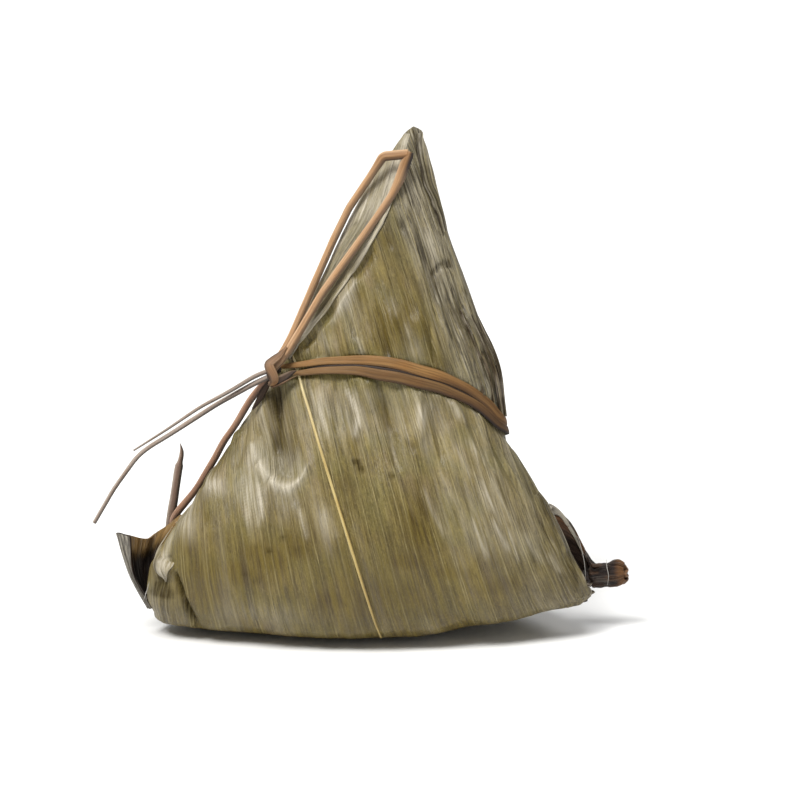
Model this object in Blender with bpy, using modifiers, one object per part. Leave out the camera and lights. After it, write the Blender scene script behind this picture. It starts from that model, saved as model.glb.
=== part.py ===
"""Zongzi: rice wrapped in bamboo leaf, a leaning three-sided parcel tied with strips of split grass.

Metres, +Z up. The parcel rests on the origin and its broad front face looks along -Y. The functions
below work in millimetres, and the meshes are scaled by MM as they are made.
"""

import math

import bmesh
import bpy
import numpy as np

MM = 0.001

# The parcel: its reach to each side at each height, as (height, reach)
HEIGHT = 93.5
REACH_LEFT = [(0, -20), (0.7, -30), (2, -36.5), (5, -39.6), (12, -40.3), (17, -39.3), (23, -35.2),
              (30, -29.7), (40, -22.4), (47, -18.2), (56, -12.7), (66, -7.7), (78, -1.7), (87, 3.7),
              (91.5, 6.1), (93, 7.6), (HEIGHT, 9)]
REACH_RIGHT = [(0, 10), (0.5, 24), (1.8, 35), (4, 40.8), (8, 41.2), (15, 38), (24, 34.4), (31, 30.3),
               (37, 26.7), (43, 25.5), (50, 24.6), (57, 22.3), (67, 18.3), (79, 14.1), (88, 12),
               (91.5, 11.1), (93, 10.2), (HEIGHT, 9)]
REACH_FRONT = [(0, -13), (0.9, -19.5), (3, -25), (6, -27.6), (11, -29), (20, -28.6), (32, -24.5),
               (44, -18.5), (50, -17), (60, -13.5), (75, -7.5), (88, -2.5), (92, -1), (HEIGHT, 1)]
REACH_BACK = [(0, 18), (0.9, 27), (3, 33), (7, 35.5), (14, 34.5), (30, 27), (45, 19), (55, 16),
              (70, 11.5), (85, 6), (92, 3), (HEIGHT, 1)]
SIDE_FACING = (-113, -90, -67, 36, 144)  # which way the section's flat sides face, in degrees
SIDE_PUSH = (1.13, 1, 1.13, 1, 1)  # how far out each flat side stands, as a share
CORNER_SHARPNESS = 7
CORNER_LIFT = 4.4  # how far the right corner is lifted off the table
LIFT_START = 10  # the underside starts to rise this far to the right
LIFT_FADE = 30  # and the lift has died away at this height

# Grass strips
STRIP_THICKNESS = 0.6
STRIP_GAP = 0.5
STRIP_STEP = 1.6  # one cross-section each
FINE_STEPS = 1500  # that a path's length is measured over
TURN_WIDTH = 1.6
TURN_TAPER = 12  # a turn narrows over this length towards its ends
TURN_NARROW = 0.7  # to this share of its width
LOOP_WIDTH = 1.4
LOOP_FACING = (-0.45, -1, 0.1)
END_FACING = (0, -1, 0.2)

# Leaf ends at the corners
LEAF_THICKNESS = 0.6
LEAF_STAND_OFF = 1.2
CURL_ROOT = 190.0  # the direction in which each leaf end leaves the parcel, in degrees
CURL_ROOT_HEIGHTS = (5, 13.2, 21.5)
# The curl's rows, each from beside its root round to its free lip: the foot, the middle and the rim
CURL_ROWS = [
    [(-41.4, -13.2, 4.7), (-40.8, -15.6, 4.6), (-40.6, -16.6, 4.6), (-40.1, -17.2, 4.6)],
    [(-44, -11.4, 11.9), (-44.6, -13.3, 11.1), (-44.5, -15, 11.9), (-43, -16.2, 12)],
    [(-43.4, -9.4, 19), (-46.1, -11, 17.6), (-46.2, -13.4, 19.2), (-43.5, -15.2, 19.4)],
]
FLAP_ROOT = -11.0
FLAP_TOP = 23.7
FLAP_FOOT = 6
FLAP_LEAVES = 14  # how strongly the flap heads away from the parcel, and then along the roll
FLAP_ARRIVES = 5
FLAP_HEADING_TOP = (1, 0.2, 0.22)
FLAP_HEADING_FOOT = (0.45, 0.08, -0.03)
ROLL_START = (43.6, -9.9, 10.2)
ROLL_END = (48.7, -12, 11.1)
ROLL_RADIUS = 1.65
ROLL_TURNS = 1.25
ROLL_WALL = 0.5
ROLL_PITCH = 0.8
ROLL_PROUD = 0.4  # the inner roll stands this far out of the leaf wrapped round it
WRAP_RADIUS = 2.35
WRAP_FROM = -50  # degrees from the top of the roll
WRAP_TURN = 320

# Where each strip runs. A wound strip's points are (direction in degrees, height, how far it is lifted
# clear of the leaf). They go from the knot across the front, round the right edge and over the back.
UPPER_TURN = [(-151, 50.7, 0), (-134, 52.3, 0), (-106, 52.6, 0), (-81, 51.7, 0), (-55, 50.1, 0),
              (-36, 47, 0), (-27, 44.6, 0), (-22, 42.4, 0), (-18, 41, 0), (-10, 40.2, 0), (15, 40.5, 0),
              (45, 42, 0), (90, 46, 0), (135, 49, 0), (165, 50, 0), (182, 50, 0), (190, 50, 0)]
LOWER_TURN = [(-149, 48.9, 0), (-132, 50.3, 0), (-104, 50.6, 0), (-80, 49.7, 0), (-55, 47.7, 0),
              (-35, 44.4, 0), (-27, 41.6, 0), (-23, 39.1, 0), (-21, 36.9, 0), (-17, 35, 0), (-8, 33.5, 0),
              (10, 32, 0), (30, 30.5, 0), (60, 28.5, 0), (90, 27.5, 0), (120, 26, 0), (150, 24.5, 0),
              (178, 23.5, 0), (190, 25, 0), (196, 28.5, 0.2), (197, 33, 0.4), (196.5, 39, 0.6),
              (197, 44, 0.6)]
# A strip that stands clear of the leaf is given by points in space.
LOOP = [(-16.2, -14.3, 53.9), (-13.9, -12.4, 56.3), (-10.2, -8.8, 64), (-5.9, -6.2, 73.3), (-2.9, -5, 79.1),
        (0.9, -4.2, 85), (2.6, -4.2, 87.4), (3.9, -4.6, 88.3), (5.5, -4.8, 88.5), (6.9, -5.2, 88.4),
        (7.4, -5.7, 87.2), (6.9, -5.9, 85.2), (6, -6.2, 83.2), (3.7, -7.1, 79.5), (-0.7, -8.6, 73.8),
        (-7.6, -10.7, 64.4), (-12.6, -12.6, 57), (-14.1, -13.9, 54.6)]
SHORT_END = [(-19.9, -14.8, 49.8), (-24.8, -16, 47), (-30.3, -17.5, 44.3), (-36.6, -19, 40.4),
             (-43, -20.5, 36.4)]
LONG_END = [(-19.7, -14.8, 47.8), (-26.5, -15.5, 44.2), (-35.3, -17, 39), (-39.5, -17.5, 36.6),
            (-42.9, -17.5, 33.4), (-46.2, -17, 28.8), (-50.2, -16, 21.9)]
TUCKED_END = [(-36.4, -5.4, 11.5), (-37.7, -5.6, 18.1), (-36.3, -6.2, 23.6), (-35, -6.6, 29.6),
              (-34.5, -7, 33.9)]
KNOT_TAIL = [(-18.7, -14, 46.4), (-19.3, -14.2, 45.2), (-20.3, -14.4, 43.4)]
KNOT_CENTRE = (-17.2, -14.4, 50.2)
KNOT_RADII = (1.8, 1.4, 2.9)
KNOT_LEAN = 12  # degrees off vertical
KNOT_RIDGES = 3
KNOT_RIDGE_HEIGHT = 0.1  # as a share of the knot's radius

COLOURS = {
    "leaf": (136, 126, 90),
    "leaf_inside": (78, 60, 40),
    "grass": (160, 124, 88),
    "grass_dry": (158, 138, 124),
}


def smooth(keys, where):
    """Values read off a smooth curve through keys of (where, value, value...), where the first rises."""
    keys = np.array(keys, float)
    at, values = keys[:, 0], keys[:, 1:]
    slopes = np.gradient(values, at, axis=0)
    where = np.clip(where, at[0], at[-1])
    i = np.clip(np.searchsorted(at, where, side="right") - 1, 0, len(at) - 2)
    span = (at[i + 1] - at[i])[..., None]
    t = (where - at[i])[..., None] / span
    return (
        (1 + 2 * t) * (1 - t) ** 2 * values[i]
        + t * (1 - t) ** 2 * span * slopes[i]
        + t * t * (3 - 2 * t) * values[i + 1]
        + t * t * (t - 1) * span * slopes[i + 1]
    )


def unit(vectors):
    return vectors / np.linalg.norm(vectors, axis=-1, keepdims=True)


def section(degrees):
    """A rounded polygon about the middle: the soft overlap of its flat sides."""
    turn = np.radians(degrees)
    total = 0
    for facing, push in zip(SIDE_FACING, SIDE_PUSH):
        total = total + (np.maximum(0, np.cos(turn - math.radians(facing))) / push) ** CORNER_SHARPNESS
    reach = total ** (-1 / CORNER_SHARPNESS)
    return np.stack([reach * np.cos(turn), reach * np.sin(turn)], -1)


CORNER_REACH = max(reach for _, reach in REACH_RIGHT)
SECTION = section(np.arange(0, 360, 0.5))
SECTION_LOW, SECTION_HIGH = SECTION.min(axis=0), SECTION.max(axis=0)


def parcel_point(degrees, height):
    """The leaf's surface: the section stretched to the four reaches, with the right corner lifted."""
    degrees, height = np.broadcast_arrays(np.asarray(degrees, float), np.asarray(height, float))
    share = (section(degrees) - SECTION_LOW) / (SECTION_HIGH - SECTION_LOW)
    left, right, front, back = (
        smooth(keys, height)[..., 0] for keys in (REACH_LEFT, REACH_RIGHT, REACH_FRONT, REACH_BACK)
    )
    x = left + (right - left) * share[..., 0]
    y = front + (back - front) * share[..., 1]
    reach = CORNER_REACH - LIFT_START
    fade = np.maximum(0, 1 - height / LIFT_FADE) ** 2
    lift = CORNER_LIFT * np.maximum(0, x - LIFT_START) / reach * fade
    return np.stack([x, y, height + lift], -1)


def parcel_facing(degrees, height):
    """Which way the leaf's surface faces."""
    round_it = parcel_point(degrees + 0.5, height) - parcel_point(degrees - 0.5, height)
    up_it = parcel_point(degrees, height + 0.3) - parcel_point(degrees, height - 0.3)
    return unit(np.cross(round_it, up_it))


def evenly(points):
    """Shares of the way along a fine path that cut it into even steps."""
    along = np.concatenate([[0], np.cumsum(np.linalg.norm(np.diff(points, axis=0), axis=1))])
    count = max(2, round(along[-1] / STRIP_STEP)) + 1
    return np.interp(np.linspace(0, along[-1], count), along, np.linspace(0, 1, len(points)))


def numbered(keys):
    """The keys with their own numbers in front, as shares of the way along."""
    keys = np.array(keys, float)
    return np.column_stack([np.linspace(0, 1, len(keys)), keys])


def wound(keys, stand_off):
    """The path of a strip wound on the leaf, and which way it faces."""
    fine = smooth(numbered(keys), np.linspace(0, 1, FINE_STEPS))
    shares = evenly(parcel_point(fine[:, 0], fine[:, 1]))
    route = smooth(numbered(keys), shares)
    facing = parcel_facing(route[:, 0], route[:, 1])
    lift = stand_off + route[:, 2:]
    return parcel_point(route[:, 0], route[:, 1]) + lift * facing, facing


def free(keys):
    """The path of a strip through points in space."""
    fine = smooth(numbered(keys), np.linspace(0, 1, FINE_STEPS))
    return smooth(numbered(keys), evenly(fine))


def colour_of(name):
    """A material with the named colour, made once."""
    material = bpy.data.materials.get(name)
    if material is None:
        material = bpy.data.materials.new(name)
        material.use_nodes = True
        shader = material.node_tree.nodes["Principled BSDF"]
        linear = [(value / 255) ** 2.2 for value in COLOURS[name]]
        shader.inputs["Base Color"].default_value = (*linear, 1)
        shader.inputs["Roughness"].default_value = 0.5 if name == "leaf" else 0.65
        shader.inputs["Metallic"].default_value = 0
    return material


def new_object(name, mesh_or_curve, colour, collection):
    made = bpy.data.objects.new(name, mesh_or_curve)
    mesh_or_curve.materials.append(colour_of(colour).copy())
    collection.objects.link(made)
    return made


def sheet(name, points, thickness, colour, collection):
    """A grid of points, shaped as an open surface, with a wall given by Solidify."""
    rows, columns = points.shape[:2]
    mesh = bpy.data.meshes.new(name)
    grid = bmesh.new()
    bmesh.ops.create_grid(grid, x_segments=rows - 1, y_segments=columns - 1, size=1)
    for vertex in grid.verts:
        row = round((vertex.co.x + 1) / 2 * (rows - 1))
        column = round((vertex.co.y + 1) / 2 * (columns - 1))
        vertex.co = points[row, column] * MM
    grid.to_mesh(mesh)
    grid.free()
    made = new_object(name, mesh, colour, collection)
    wall = made.modifiers.new("wall", "SOLIDIFY")
    wall.thickness = thickness * MM
    wall.offset = 0
    wall.use_even_offset = True
    mesh.shade_smooth()
    return made


def strip(name, path, facing, widths, colour, collection, thickness=STRIP_THICKNESS):
    """A flat strip of grass along a path, as wide as widths, lying square to where it faces."""
    along = unit(np.gradient(path, axis=0))
    side = unit(np.cross(along, facing))
    widths = np.broadcast_to(widths, len(path))
    points = path[:, None] + side[:, None] * widths[:, None, None] * np.array([-0.5, 0.5])[None, :, None]
    return sheet(name, points, thickness, colour, collection)


def make_parcel(collection):
    """A sphere whose rings become the parcel's levels, and whose lowest ring is the flat rest spot."""
    mesh = bpy.data.meshes.new("leaf_parcel")
    ball = bmesh.new()
    bmesh.ops.create_uvsphere(ball, u_segments=64, v_segments=36, radius=1)
    lowest_ring = min(vertex.co.z for vertex in ball.verts if vertex.co.z > -0.9999)
    for vertex in ball.verts:
        height = max(0, (vertex.co.z - lowest_ring) / (1 - lowest_ring)) * HEIGHT
        if vertex.co.z < lowest_ring - 0.0001:
            vertex.co = (0, 0, 0)
        else:
            degrees = math.degrees(math.atan2(vertex.co.y, vertex.co.x))
            vertex.co = parcel_point(degrees, height) * MM
    ball.to_mesh(mesh)
    ball.free()
    mesh.shade_smooth()
    return new_object("leaf_parcel", mesh, "leaf", collection)


def make_corner_curl(collection):
    """The leaf's end at the left corner, curled into a pocket that comes to a point at its foot."""
    heights = np.array(CURL_ROOT_HEIGHTS, float)
    roots = parcel_point(CURL_ROOT, heights) + LEAF_STAND_OFF * parcel_facing(CURL_ROOT, heights)
    round_it, up = np.linspace(0, 1, 15), np.linspace(0, 1, 9)
    rows = [smooth(numbered([root, *row]), round_it) for root, row in zip(roots, CURL_ROWS)]
    points = smooth(numbered([row.ravel() for row in rows]), up).reshape(len(up), len(round_it), 3)
    return sheet("corner_curl", points, LEAF_THICKNESS, "leaf", collection)


def make_tail_flap(collection):
    """The back leaf's end: a sheet that leaves the right edge and closes round the rolled tail."""
    down = np.linspace(0, 1, 13)
    out = np.linspace(0, 1, 11)[:, None, None]
    start, end = np.array(ROLL_START), np.array(ROLL_END)
    axis = unit(end - start)
    across = unit(np.cross(axis, (0, 0, 1)))
    upright = np.cross(across, axis)
    height = FLAP_TOP + (FLAP_FOOT - FLAP_TOP) * down
    root = parcel_point(FLAP_ROOT, height) + LEAF_STAND_OFF * parcel_facing(FLAP_ROOT, height)
    turn = np.radians(WRAP_FROM + WRAP_TURN * down)[:, None]
    ring = start + WRAP_RADIUS * (np.cos(turn) * upright - np.sin(turn) * across)
    top, foot = np.array(FLAP_HEADING_TOP), np.array(FLAP_HEADING_FOOT)
    leave = FLAP_LEAVES * (top + (foot - top) * down[:, None])
    points = (
        (1 + 2 * out) * (1 - out) ** 2 * root
        + out * (1 - out) ** 2 * leave
        + out * out * (3 - 2 * out) * ring
        + out * out * (out - 1) * FLAP_ARRIVES * axis
    )
    straight = ring + np.linspace(0, 1, 4)[1:, None, None] * (end - start)
    points = np.concatenate([points, straight])
    return sheet("tail_flap", points, LEAF_THICKNESS, "leaf_inside", collection)


def make_tail_roll(collection):
    """The leaf's narrow end, rolled up: a spiral wall drawn out along the roll."""
    turn = np.linspace(0, ROLL_TURNS * 2 * math.pi, 44)
    outside = ROLL_RADIUS - ROLL_PITCH * turn / (2 * math.pi)
    inside = outside - ROLL_WALL
    there = np.stack([outside * np.cos(turn), outside * np.sin(turn)], -1)
    back = np.stack([inside * np.cos(turn), inside * np.sin(turn)], -1)[::-1]
    outline = np.concatenate([there, back]) * MM
    curve = bpy.data.curves.new("tail_roll", "CURVE")
    curve.dimensions = "2D"
    curve.fill_mode = "BOTH"
    spline = curve.splines.new("POLY")
    spline.points.add(len(outline) - 1)
    for point, (x, y) in zip(spline.points, outline):
        point.co = (x, y, 0, 1)
    spline.use_cyclic_u = True
    start, end = np.array(ROLL_START), np.array(ROLL_END)
    end = end + ROLL_PROUD * unit(end - start)
    curve.extrude = np.linalg.norm(end - start) / 2 * MM
    roll = new_object("tail_roll", curve, "leaf_inside", collection)
    roll.location = (start + end) / 2 * MM
    roll.rotation_euler = (
        0,
        math.acos((end - start)[2] / np.linalg.norm(end - start)),
        math.atan2((end - start)[1], (end - start)[0]),
    )
    return roll


def make_knot(collection):
    """A tight lump with the slanting ridges of the strips that are pulled through it."""
    mesh = bpy.data.meshes.new("knot")
    ball = bmesh.new()
    bmesh.ops.create_uvsphere(ball, u_segments=20, v_segments=12, radius=1)
    lean = math.radians(KNOT_LEAN)
    for vertex in ball.verts:
        turn = math.atan2(vertex.co.y, vertex.co.x)
        waist = 1 - vertex.co.z**2
        ridge = waist * math.cos(KNOT_RIDGES * (turn + vertex.co.z))
        swell = 1 + KNOT_RIDGE_HEIGHT * ridge
        x, y, z = (swell * value * radius for value, radius in zip(vertex.co, KNOT_RADII))
        leaning = (x * math.cos(lean) + z * math.sin(lean), y, z * math.cos(lean) - x * math.sin(lean))
        vertex.co = [(value + centre) * MM for value, centre in zip(leaning, KNOT_CENTRE)]
    ball.to_mesh(mesh)
    ball.free()
    mesh.shade_smooth()
    return new_object("knot", mesh, "grass", collection)


def make_tie(collection):
    """The strips of grass: two turns round the waist, the hanging loop and the loose ends."""
    stand_off = STRIP_GAP + STRIP_THICKNESS / 2
    for name, keys in (("waist_turn_upper", UPPER_TURN), ("waist_turn_lower", LOWER_TURN)):
        path, facing = wound(keys, stand_off)
        along = np.arange(len(path)) * STRIP_STEP
        from_end = np.minimum(along, along[::-1])
        fullness = np.sin(np.minimum(1, from_end / TURN_TAPER) * math.pi / 2)
        widths = TURN_WIDTH * (TURN_NARROW + (1 - TURN_NARROW) * fullness)
        strip(name, path, facing, widths, "grass", collection)
    strip("hanging_loop", free(LOOP), np.array(LOOP_FACING), LOOP_WIDTH, "grass", collection)
    ends = (
        ("loose_end_short", SHORT_END, 1.2, 0.4, "grass_dry"),
        ("loose_end_long", LONG_END, 1.3, 0.9, "grass_dry"),
        ("tucked_end", TUCKED_END, 1.6, 0.8, "grass"),
        ("knot_tail", KNOT_TAIL, 1.9, 0.8, "leaf_inside"),
    )
    for name, keys, wide, narrow, colour in ends:
        path = free(keys)
        widths = np.linspace(wide, narrow, len(path))
        strip(name, path, np.array(END_FACING), widths, colour, collection)


def main():
    for old in list(bpy.data.objects):
        bpy.data.objects.remove(old)
    collection = bpy.data.collections.new("zongzi")
    bpy.context.scene.collection.children.link(collection)
    make_parcel(collection)
    make_corner_curl(collection)
    make_tail_flap(collection)
    make_tail_roll(collection)
    make_knot(collection)
    make_tie(collection)


main()
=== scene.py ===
import math

import bpy
import numpy as np
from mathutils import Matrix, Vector


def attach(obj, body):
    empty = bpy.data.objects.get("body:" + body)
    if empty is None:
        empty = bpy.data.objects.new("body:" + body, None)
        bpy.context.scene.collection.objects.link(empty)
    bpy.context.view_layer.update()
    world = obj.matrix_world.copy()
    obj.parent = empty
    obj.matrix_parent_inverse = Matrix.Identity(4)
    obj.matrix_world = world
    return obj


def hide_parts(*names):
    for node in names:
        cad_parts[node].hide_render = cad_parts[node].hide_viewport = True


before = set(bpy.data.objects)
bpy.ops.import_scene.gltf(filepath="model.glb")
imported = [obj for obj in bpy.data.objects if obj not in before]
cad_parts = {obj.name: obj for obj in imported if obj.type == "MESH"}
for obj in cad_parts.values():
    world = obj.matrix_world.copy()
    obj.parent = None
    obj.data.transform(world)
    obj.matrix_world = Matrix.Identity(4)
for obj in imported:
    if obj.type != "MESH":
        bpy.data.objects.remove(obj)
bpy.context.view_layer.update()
mm = 0.001  # lengths below are in millimetres and are scaled as the meshes are made


def unit(vectors):  # each vector divided by its own length
    return vectors / np.maximum(np.linalg.norm(vectors, axis=-1, keepdims=True), 1e-12)


def softStep(low, high, value):  # 0 below low, 1 above high, with an S curve between
    share = np.clip((value - low) / (high - low), 0, 1)
    return share * share * (3 - 2 * share)


def bell(value):  # a smooth hump: 1 where the value is nought, falling away on both sides
    return np.exp(-(value ** 2))


def shares(count):  # from 0 at the start of a strip to 1 at its end
    return np.linspace(0, 1, count)


def byTable(keys, where):  # a value read off straight lines between keys of (where, value)
    keys = np.array(keys, float)
    return np.interp(where, keys[:, 0], keys[:, 1])


def throughKeys(keys, where):  # a smooth (Hermite) curve through keys of (where, value, value...)
    keys = np.array(keys, float)
    at, values = keys[:, 0], keys[:, 1:]
    slopes = np.gradient(values, at, axis=0)
    where = np.clip(where, at[0], at[-1])
    i = np.clip(np.searchsorted(at, where, side="right") - 1, 0, len(at) - 2)
    span = (at[i + 1] - at[i])[..., None]
    t = (where - at[i])[..., None] / span
    return (
        (1 + 2 * t) * (1 - t) ** 2 * values[i]
        + t * (1 - t) ** 2 * span * slopes[i]
        + t * t * (3 - 2 * t) * values[i + 1]
        + t * t * (t - 1) * span * slopes[i + 1]
    )


def lengthAlong(points):  # distance walked from the first point of a row: the running sum of its steps
    steps = np.linalg.norm(np.diff(points, axis=-2), axis=-1)
    return np.concatenate([np.zeros((*steps.shape[:-1], 1)), np.cumsum(steps, axis=-1)], axis=-1)


def numbered(points):  # points with their share of the way along in front
    points = np.array(points, float)
    return np.column_stack([shares(len(points)), points])


def evenPath(points, step, fineCount=2000):  # a smooth path through the points, cut into even steps
    keys = numbered(points)
    fine = throughKeys(keys, shares(fineCount))
    along = lengthAlong(fine[:, :3])
    count = max(3, round(along[-1] / step)) + 1
    return throughKeys(keys, np.interp(np.linspace(0, along[-1], count), along, shares(fineCount)))


def kinkedPath(points, reach, step=0.3):  # straight lengths between the points, with a short bend at each
    points = np.array(points, float)
    along = lengthAlong(points)
    where = np.linspace(0, along[-1], max(3, round(along[-1] / step)) + 1)
    return evened(np.stack([np.interp(where, along, points[:, k]) for k in range(3)], -1), reach)


def evened(path, reach):  # a path whose places are averaged with their neighbours, its ends kept straight
    before = path[0] - np.arange(reach, 0, -1)[:, None] * (path[1] - path[0])
    after = path[-1] + np.arange(1, reach + 1)[:, None] * (path[-1] - path[-2])
    longer = np.concatenate([before, path, after])
    window = np.ones(2 * reach + 1) / (2 * reach + 1)
    return np.array([np.convolve(longer[:, k], window, "valid") for k in range(3)]).T


def softNoise(u, v, seed, creased=False, size=128):
    # Rolling random hills one unit apart, from -1 to 1: a random lattice blended between its corners.
    # Creased leaves it flat-sided across.
    lattice = np.random.default_rng(seed).uniform(-1, 1, (size, size))
    u, v = np.broadcast_arrays(u, v)
    iu, iv = np.floor(u).astype(int), np.floor(v).astype(int)
    fu, fv = u - iu, v - iv
    fv = fv * fv * (3 - 2 * fv)
    if not creased:
        fu = fu * fu * (3 - 2 * fu)
    low = lattice[iu % size, iv % size] * (1 - fu) + lattice[(iu + 1) % size, iv % size] * fu
    high = lattice[iu % size, (iv + 1) % size] * (1 - fu) + lattice[(iu + 1) % size, (iv + 1) % size] * fu
    return low * (1 - fv) + high * fv


def hills(u, v, seed):  # only the upper half of the rolling noise, from 0 to 1
    return np.clip(softNoise(u, v, seed), 0, 1)


def toned(stain, bloom, dirt, grey):  # a leaf finish's four marks side by side, each kept from 0 to 1
    return np.clip(np.stack(np.broadcast_arrays(stain, bloom, dirt, grey), -1), 0, 1)


def cellCorners(grid):  # the four corners of every cell of a grid, in order round it
    return np.stack([grid[:-1, :-1], grid[:-1, 1:], grid[1:, 1:], grid[1:, :-1]], 2)


def buildMesh(name, parts, materials):
    # Joins grids of points into one object. Each part has points (rows, columns, 3), and may be closed
    # round its columns ("around") and capped at its first and last rows ("caps").
    places, faces, uvs, tones, slots = [], [], [], [], []
    start = 0
    for part in parts:
        points = part["points"]
        rows, columns = points.shape[:2]
        around, caps = part.get("around", False), part.get("caps", False)
        index = start + np.arange(rows * columns).reshape(rows, columns)
        uv = part.get("uv", np.zeros((rows, columns + around, 2)))
        tone = part.get("tone", np.zeros((rows, columns, 4)))
        if around:
            index = np.concatenate([index, index[:, :1]], axis=1)
        shapes = [(cellCorners(index).reshape(-1, 4), cellCorners(uv).reshape(-1, 4, 2))]
        vertices, vertexTones = [points.reshape(-1, 3)], [tone.reshape(-1, 4)]
        for end in (0, -1) if caps else ():  # a fan round the middle of the first row, and of the last
            first, second = (slice(1, None), slice(-1)) if end == 0 else (slice(-1), slice(1, None))
            ring, ringUv = index[end], uv[end]
            centre = np.full(len(ring) - 1, start + rows * columns - end)
            vertices.append(points[end].mean(axis=0)[None])
            vertexTones.append(tone[end].mean(axis=0)[None])
            middleUv = (ringUv[first] + ringUv[second]) / 2
            shapes.append((
                np.stack([ring[first], ring[second], centre], -1),
                np.stack([ringUv[first], ringUv[second], middleUv], 1),
            ))
        vertices = np.concatenate(vertices)
        flip = around and caps and signedVolume(vertices, [shape - start for shape, _ in shapes]) < 0
        turned = slice(None, None, -1 if flip else 1)
        for shape, shapeUv in shapes:
            faces.extend(shape[:, turned].tolist())
            uvs.append(shapeUv[:, turned].reshape(-1, 2))
            slots.append(np.full(len(shape), part.get("slot", 0)))
        places.append(vertices)
        tones.append(np.concatenate(vertexTones))
        start += len(vertices)
    mesh = bpy.data.meshes.new(name)
    mesh.from_pydata(np.concatenate(places) * mm, [], faces)
    mesh.uv_layers.new(name="grain").uv.foreach_set("vector", np.concatenate(uvs).ravel())
    painted = mesh.attributes.new("marks", "FLOAT_COLOR", "POINT")
    painted.data.foreach_set("color", np.concatenate(tones).ravel())
    for material in materials:
        mesh.materials.append(material)
    mesh.polygons.foreach_set("material_index", np.concatenate(slots))
    mesh.shade_smooth()
    made = bpy.data.objects.new(name, mesh)
    bpy.context.scene.collection.objects.link(made)
    return made


def signedVolume(vertices, shapes):  # a sixth of the sum of each triangle's triple product
    quads, *fans = shapes
    a, b, c = vertices[np.concatenate([quads[:, [0, 1, 2]], quads[:, [0, 2, 3]], *fans])].transpose(1, 0, 2)
    return np.einsum("ij,ij->i", a, np.cross(b, c)).sum() / 6


def thicken(made, thickness):  # gives an open sheet its wall, inwards, with the second finish on it
    wall = made.modifiers.new("wall", "SOLIDIFY")
    wall.thickness = thickness * mm
    wall.offset = -1
    wall.use_even_offset = False
    wall.material_offset = 1
    wall.material_offset_rim = 1


def place(made, slot, *nodes):  # every piece rides on the one body and stands for its CAD nodes
    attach(made, "root")
    if nodes:
        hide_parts(*nodes)


view = dict(
    elevation=13.0, distance=0.6, target=(0, 0, 0.045), lens=143.1, sensorWidth=36, clipStart=0.01,
    shiftX=0.0437, shiftY=-0.0225,
)
lights = [  # name, azimuth from the front, elevation, distance, size, power, colour
    ("keyLight", -44, 54, 3.3, 1.25, 108, (1, 0.99, 0.965)),
    ("fillLight", 48, 25, 3.6, 2.4, 8, (0.95, 0.975, 1)),
    ("topLight", -5, 70, 3.3, 1.4, 50, (1, 1, 1)),
    ("backLight", 155, 45, 3.3, 1.6, 34, (1, 1, 1)),
]
studio = dict(
    floorSize=9.0, floorColour=(0.86, 0.86, 0.855), floorRoughness=0.9, floorSheen=0.1,
    worldColour=(1, 1, 1), worldStrength=0.25,
)


def standBack(name, data, azimuth, elevation, distance):  # puts a thing off the target, looking back at it
    turn, rise = math.radians(azimuth), math.radians(elevation)
    out = np.array([math.sin(turn) * math.cos(rise), -math.cos(turn) * math.cos(rise), math.sin(rise)])
    thing = bpy.data.objects.new(name, data)
    thing.location = np.array(view["target"]) + out * distance
    thing.rotation_euler = Vector(-out).to_track_quat("-Z", "Y").to_euler()
    bpy.context.scene.collection.objects.link(thing)
    return thing


def makeStudio():
    cameraData = bpy.data.cameras.new("camera")
    cameraData.lens = view["lens"]
    cameraData.sensor_width = view["sensorWidth"]
    cameraData.shift_x = view["shiftX"]
    cameraData.shift_y = view["shiftY"]
    cameraData.clip_start = view["clipStart"]
    bpy.context.scene.camera = standBack("camera", cameraData, 0, view["elevation"], view["distance"])
    for name, azimuth, elevation, distance, size, power, colour in lights:
        lamp = bpy.data.lights.new(name, "AREA")
        lamp.size = size
        lamp.energy = power
        lamp.color = colour
        standBack(name, lamp, azimuth, elevation, distance)
    world = bpy.data.worlds.new("studio")
    world.use_nodes = True
    sky = world.node_tree.nodes["Background"]
    sky.inputs["Color"].default_value = (*studio["worldColour"], 1)
    sky.inputs["Strength"].default_value = studio["worldStrength"]
    bpy.context.scene.world = world
    half = studio["floorSize"] / 2 / mm
    corners = np.array([[[-half, -half, 0], [half, -half, 0]], [[-half, half, 0], [half, half, 0]]], float)
    floor = buildMesh("floor", [dict(points=corners)], [floorFinish()])
    bpy.context.scene.view_settings.view_transform = "Standard"
    print("studio ready")


def floorFinish():
    material = bpy.data.materials.new("floorFinish")
    material.use_nodes = True
    shader = material.node_tree.nodes["Principled BSDF"]
    shader.inputs["Base Color"].default_value = (*studio["floorColour"], 1)
    shader.inputs["Roughness"].default_value = studio["floorRoughness"]
    shader.inputs["Specular IOR Level"].default_value = studio["floorSheen"]
    return material


def fromScreen(red, green, blue):  # a colour as seen on screen, 0 to 255, as linear light
    values = np.array([red, green, blue]) / 255
    linear = np.where(values <= 0.04045, values / 12.92, ((values + 0.055) / 1.055) ** 2.4)
    return (*linear.tolist(), 1)


def palette(base=(), **colours):  # colours as seen on screen, laid over those of another palette
    return dict(base, **{name: fromScreen(*colour) for name, colour in colours.items()})


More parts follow.
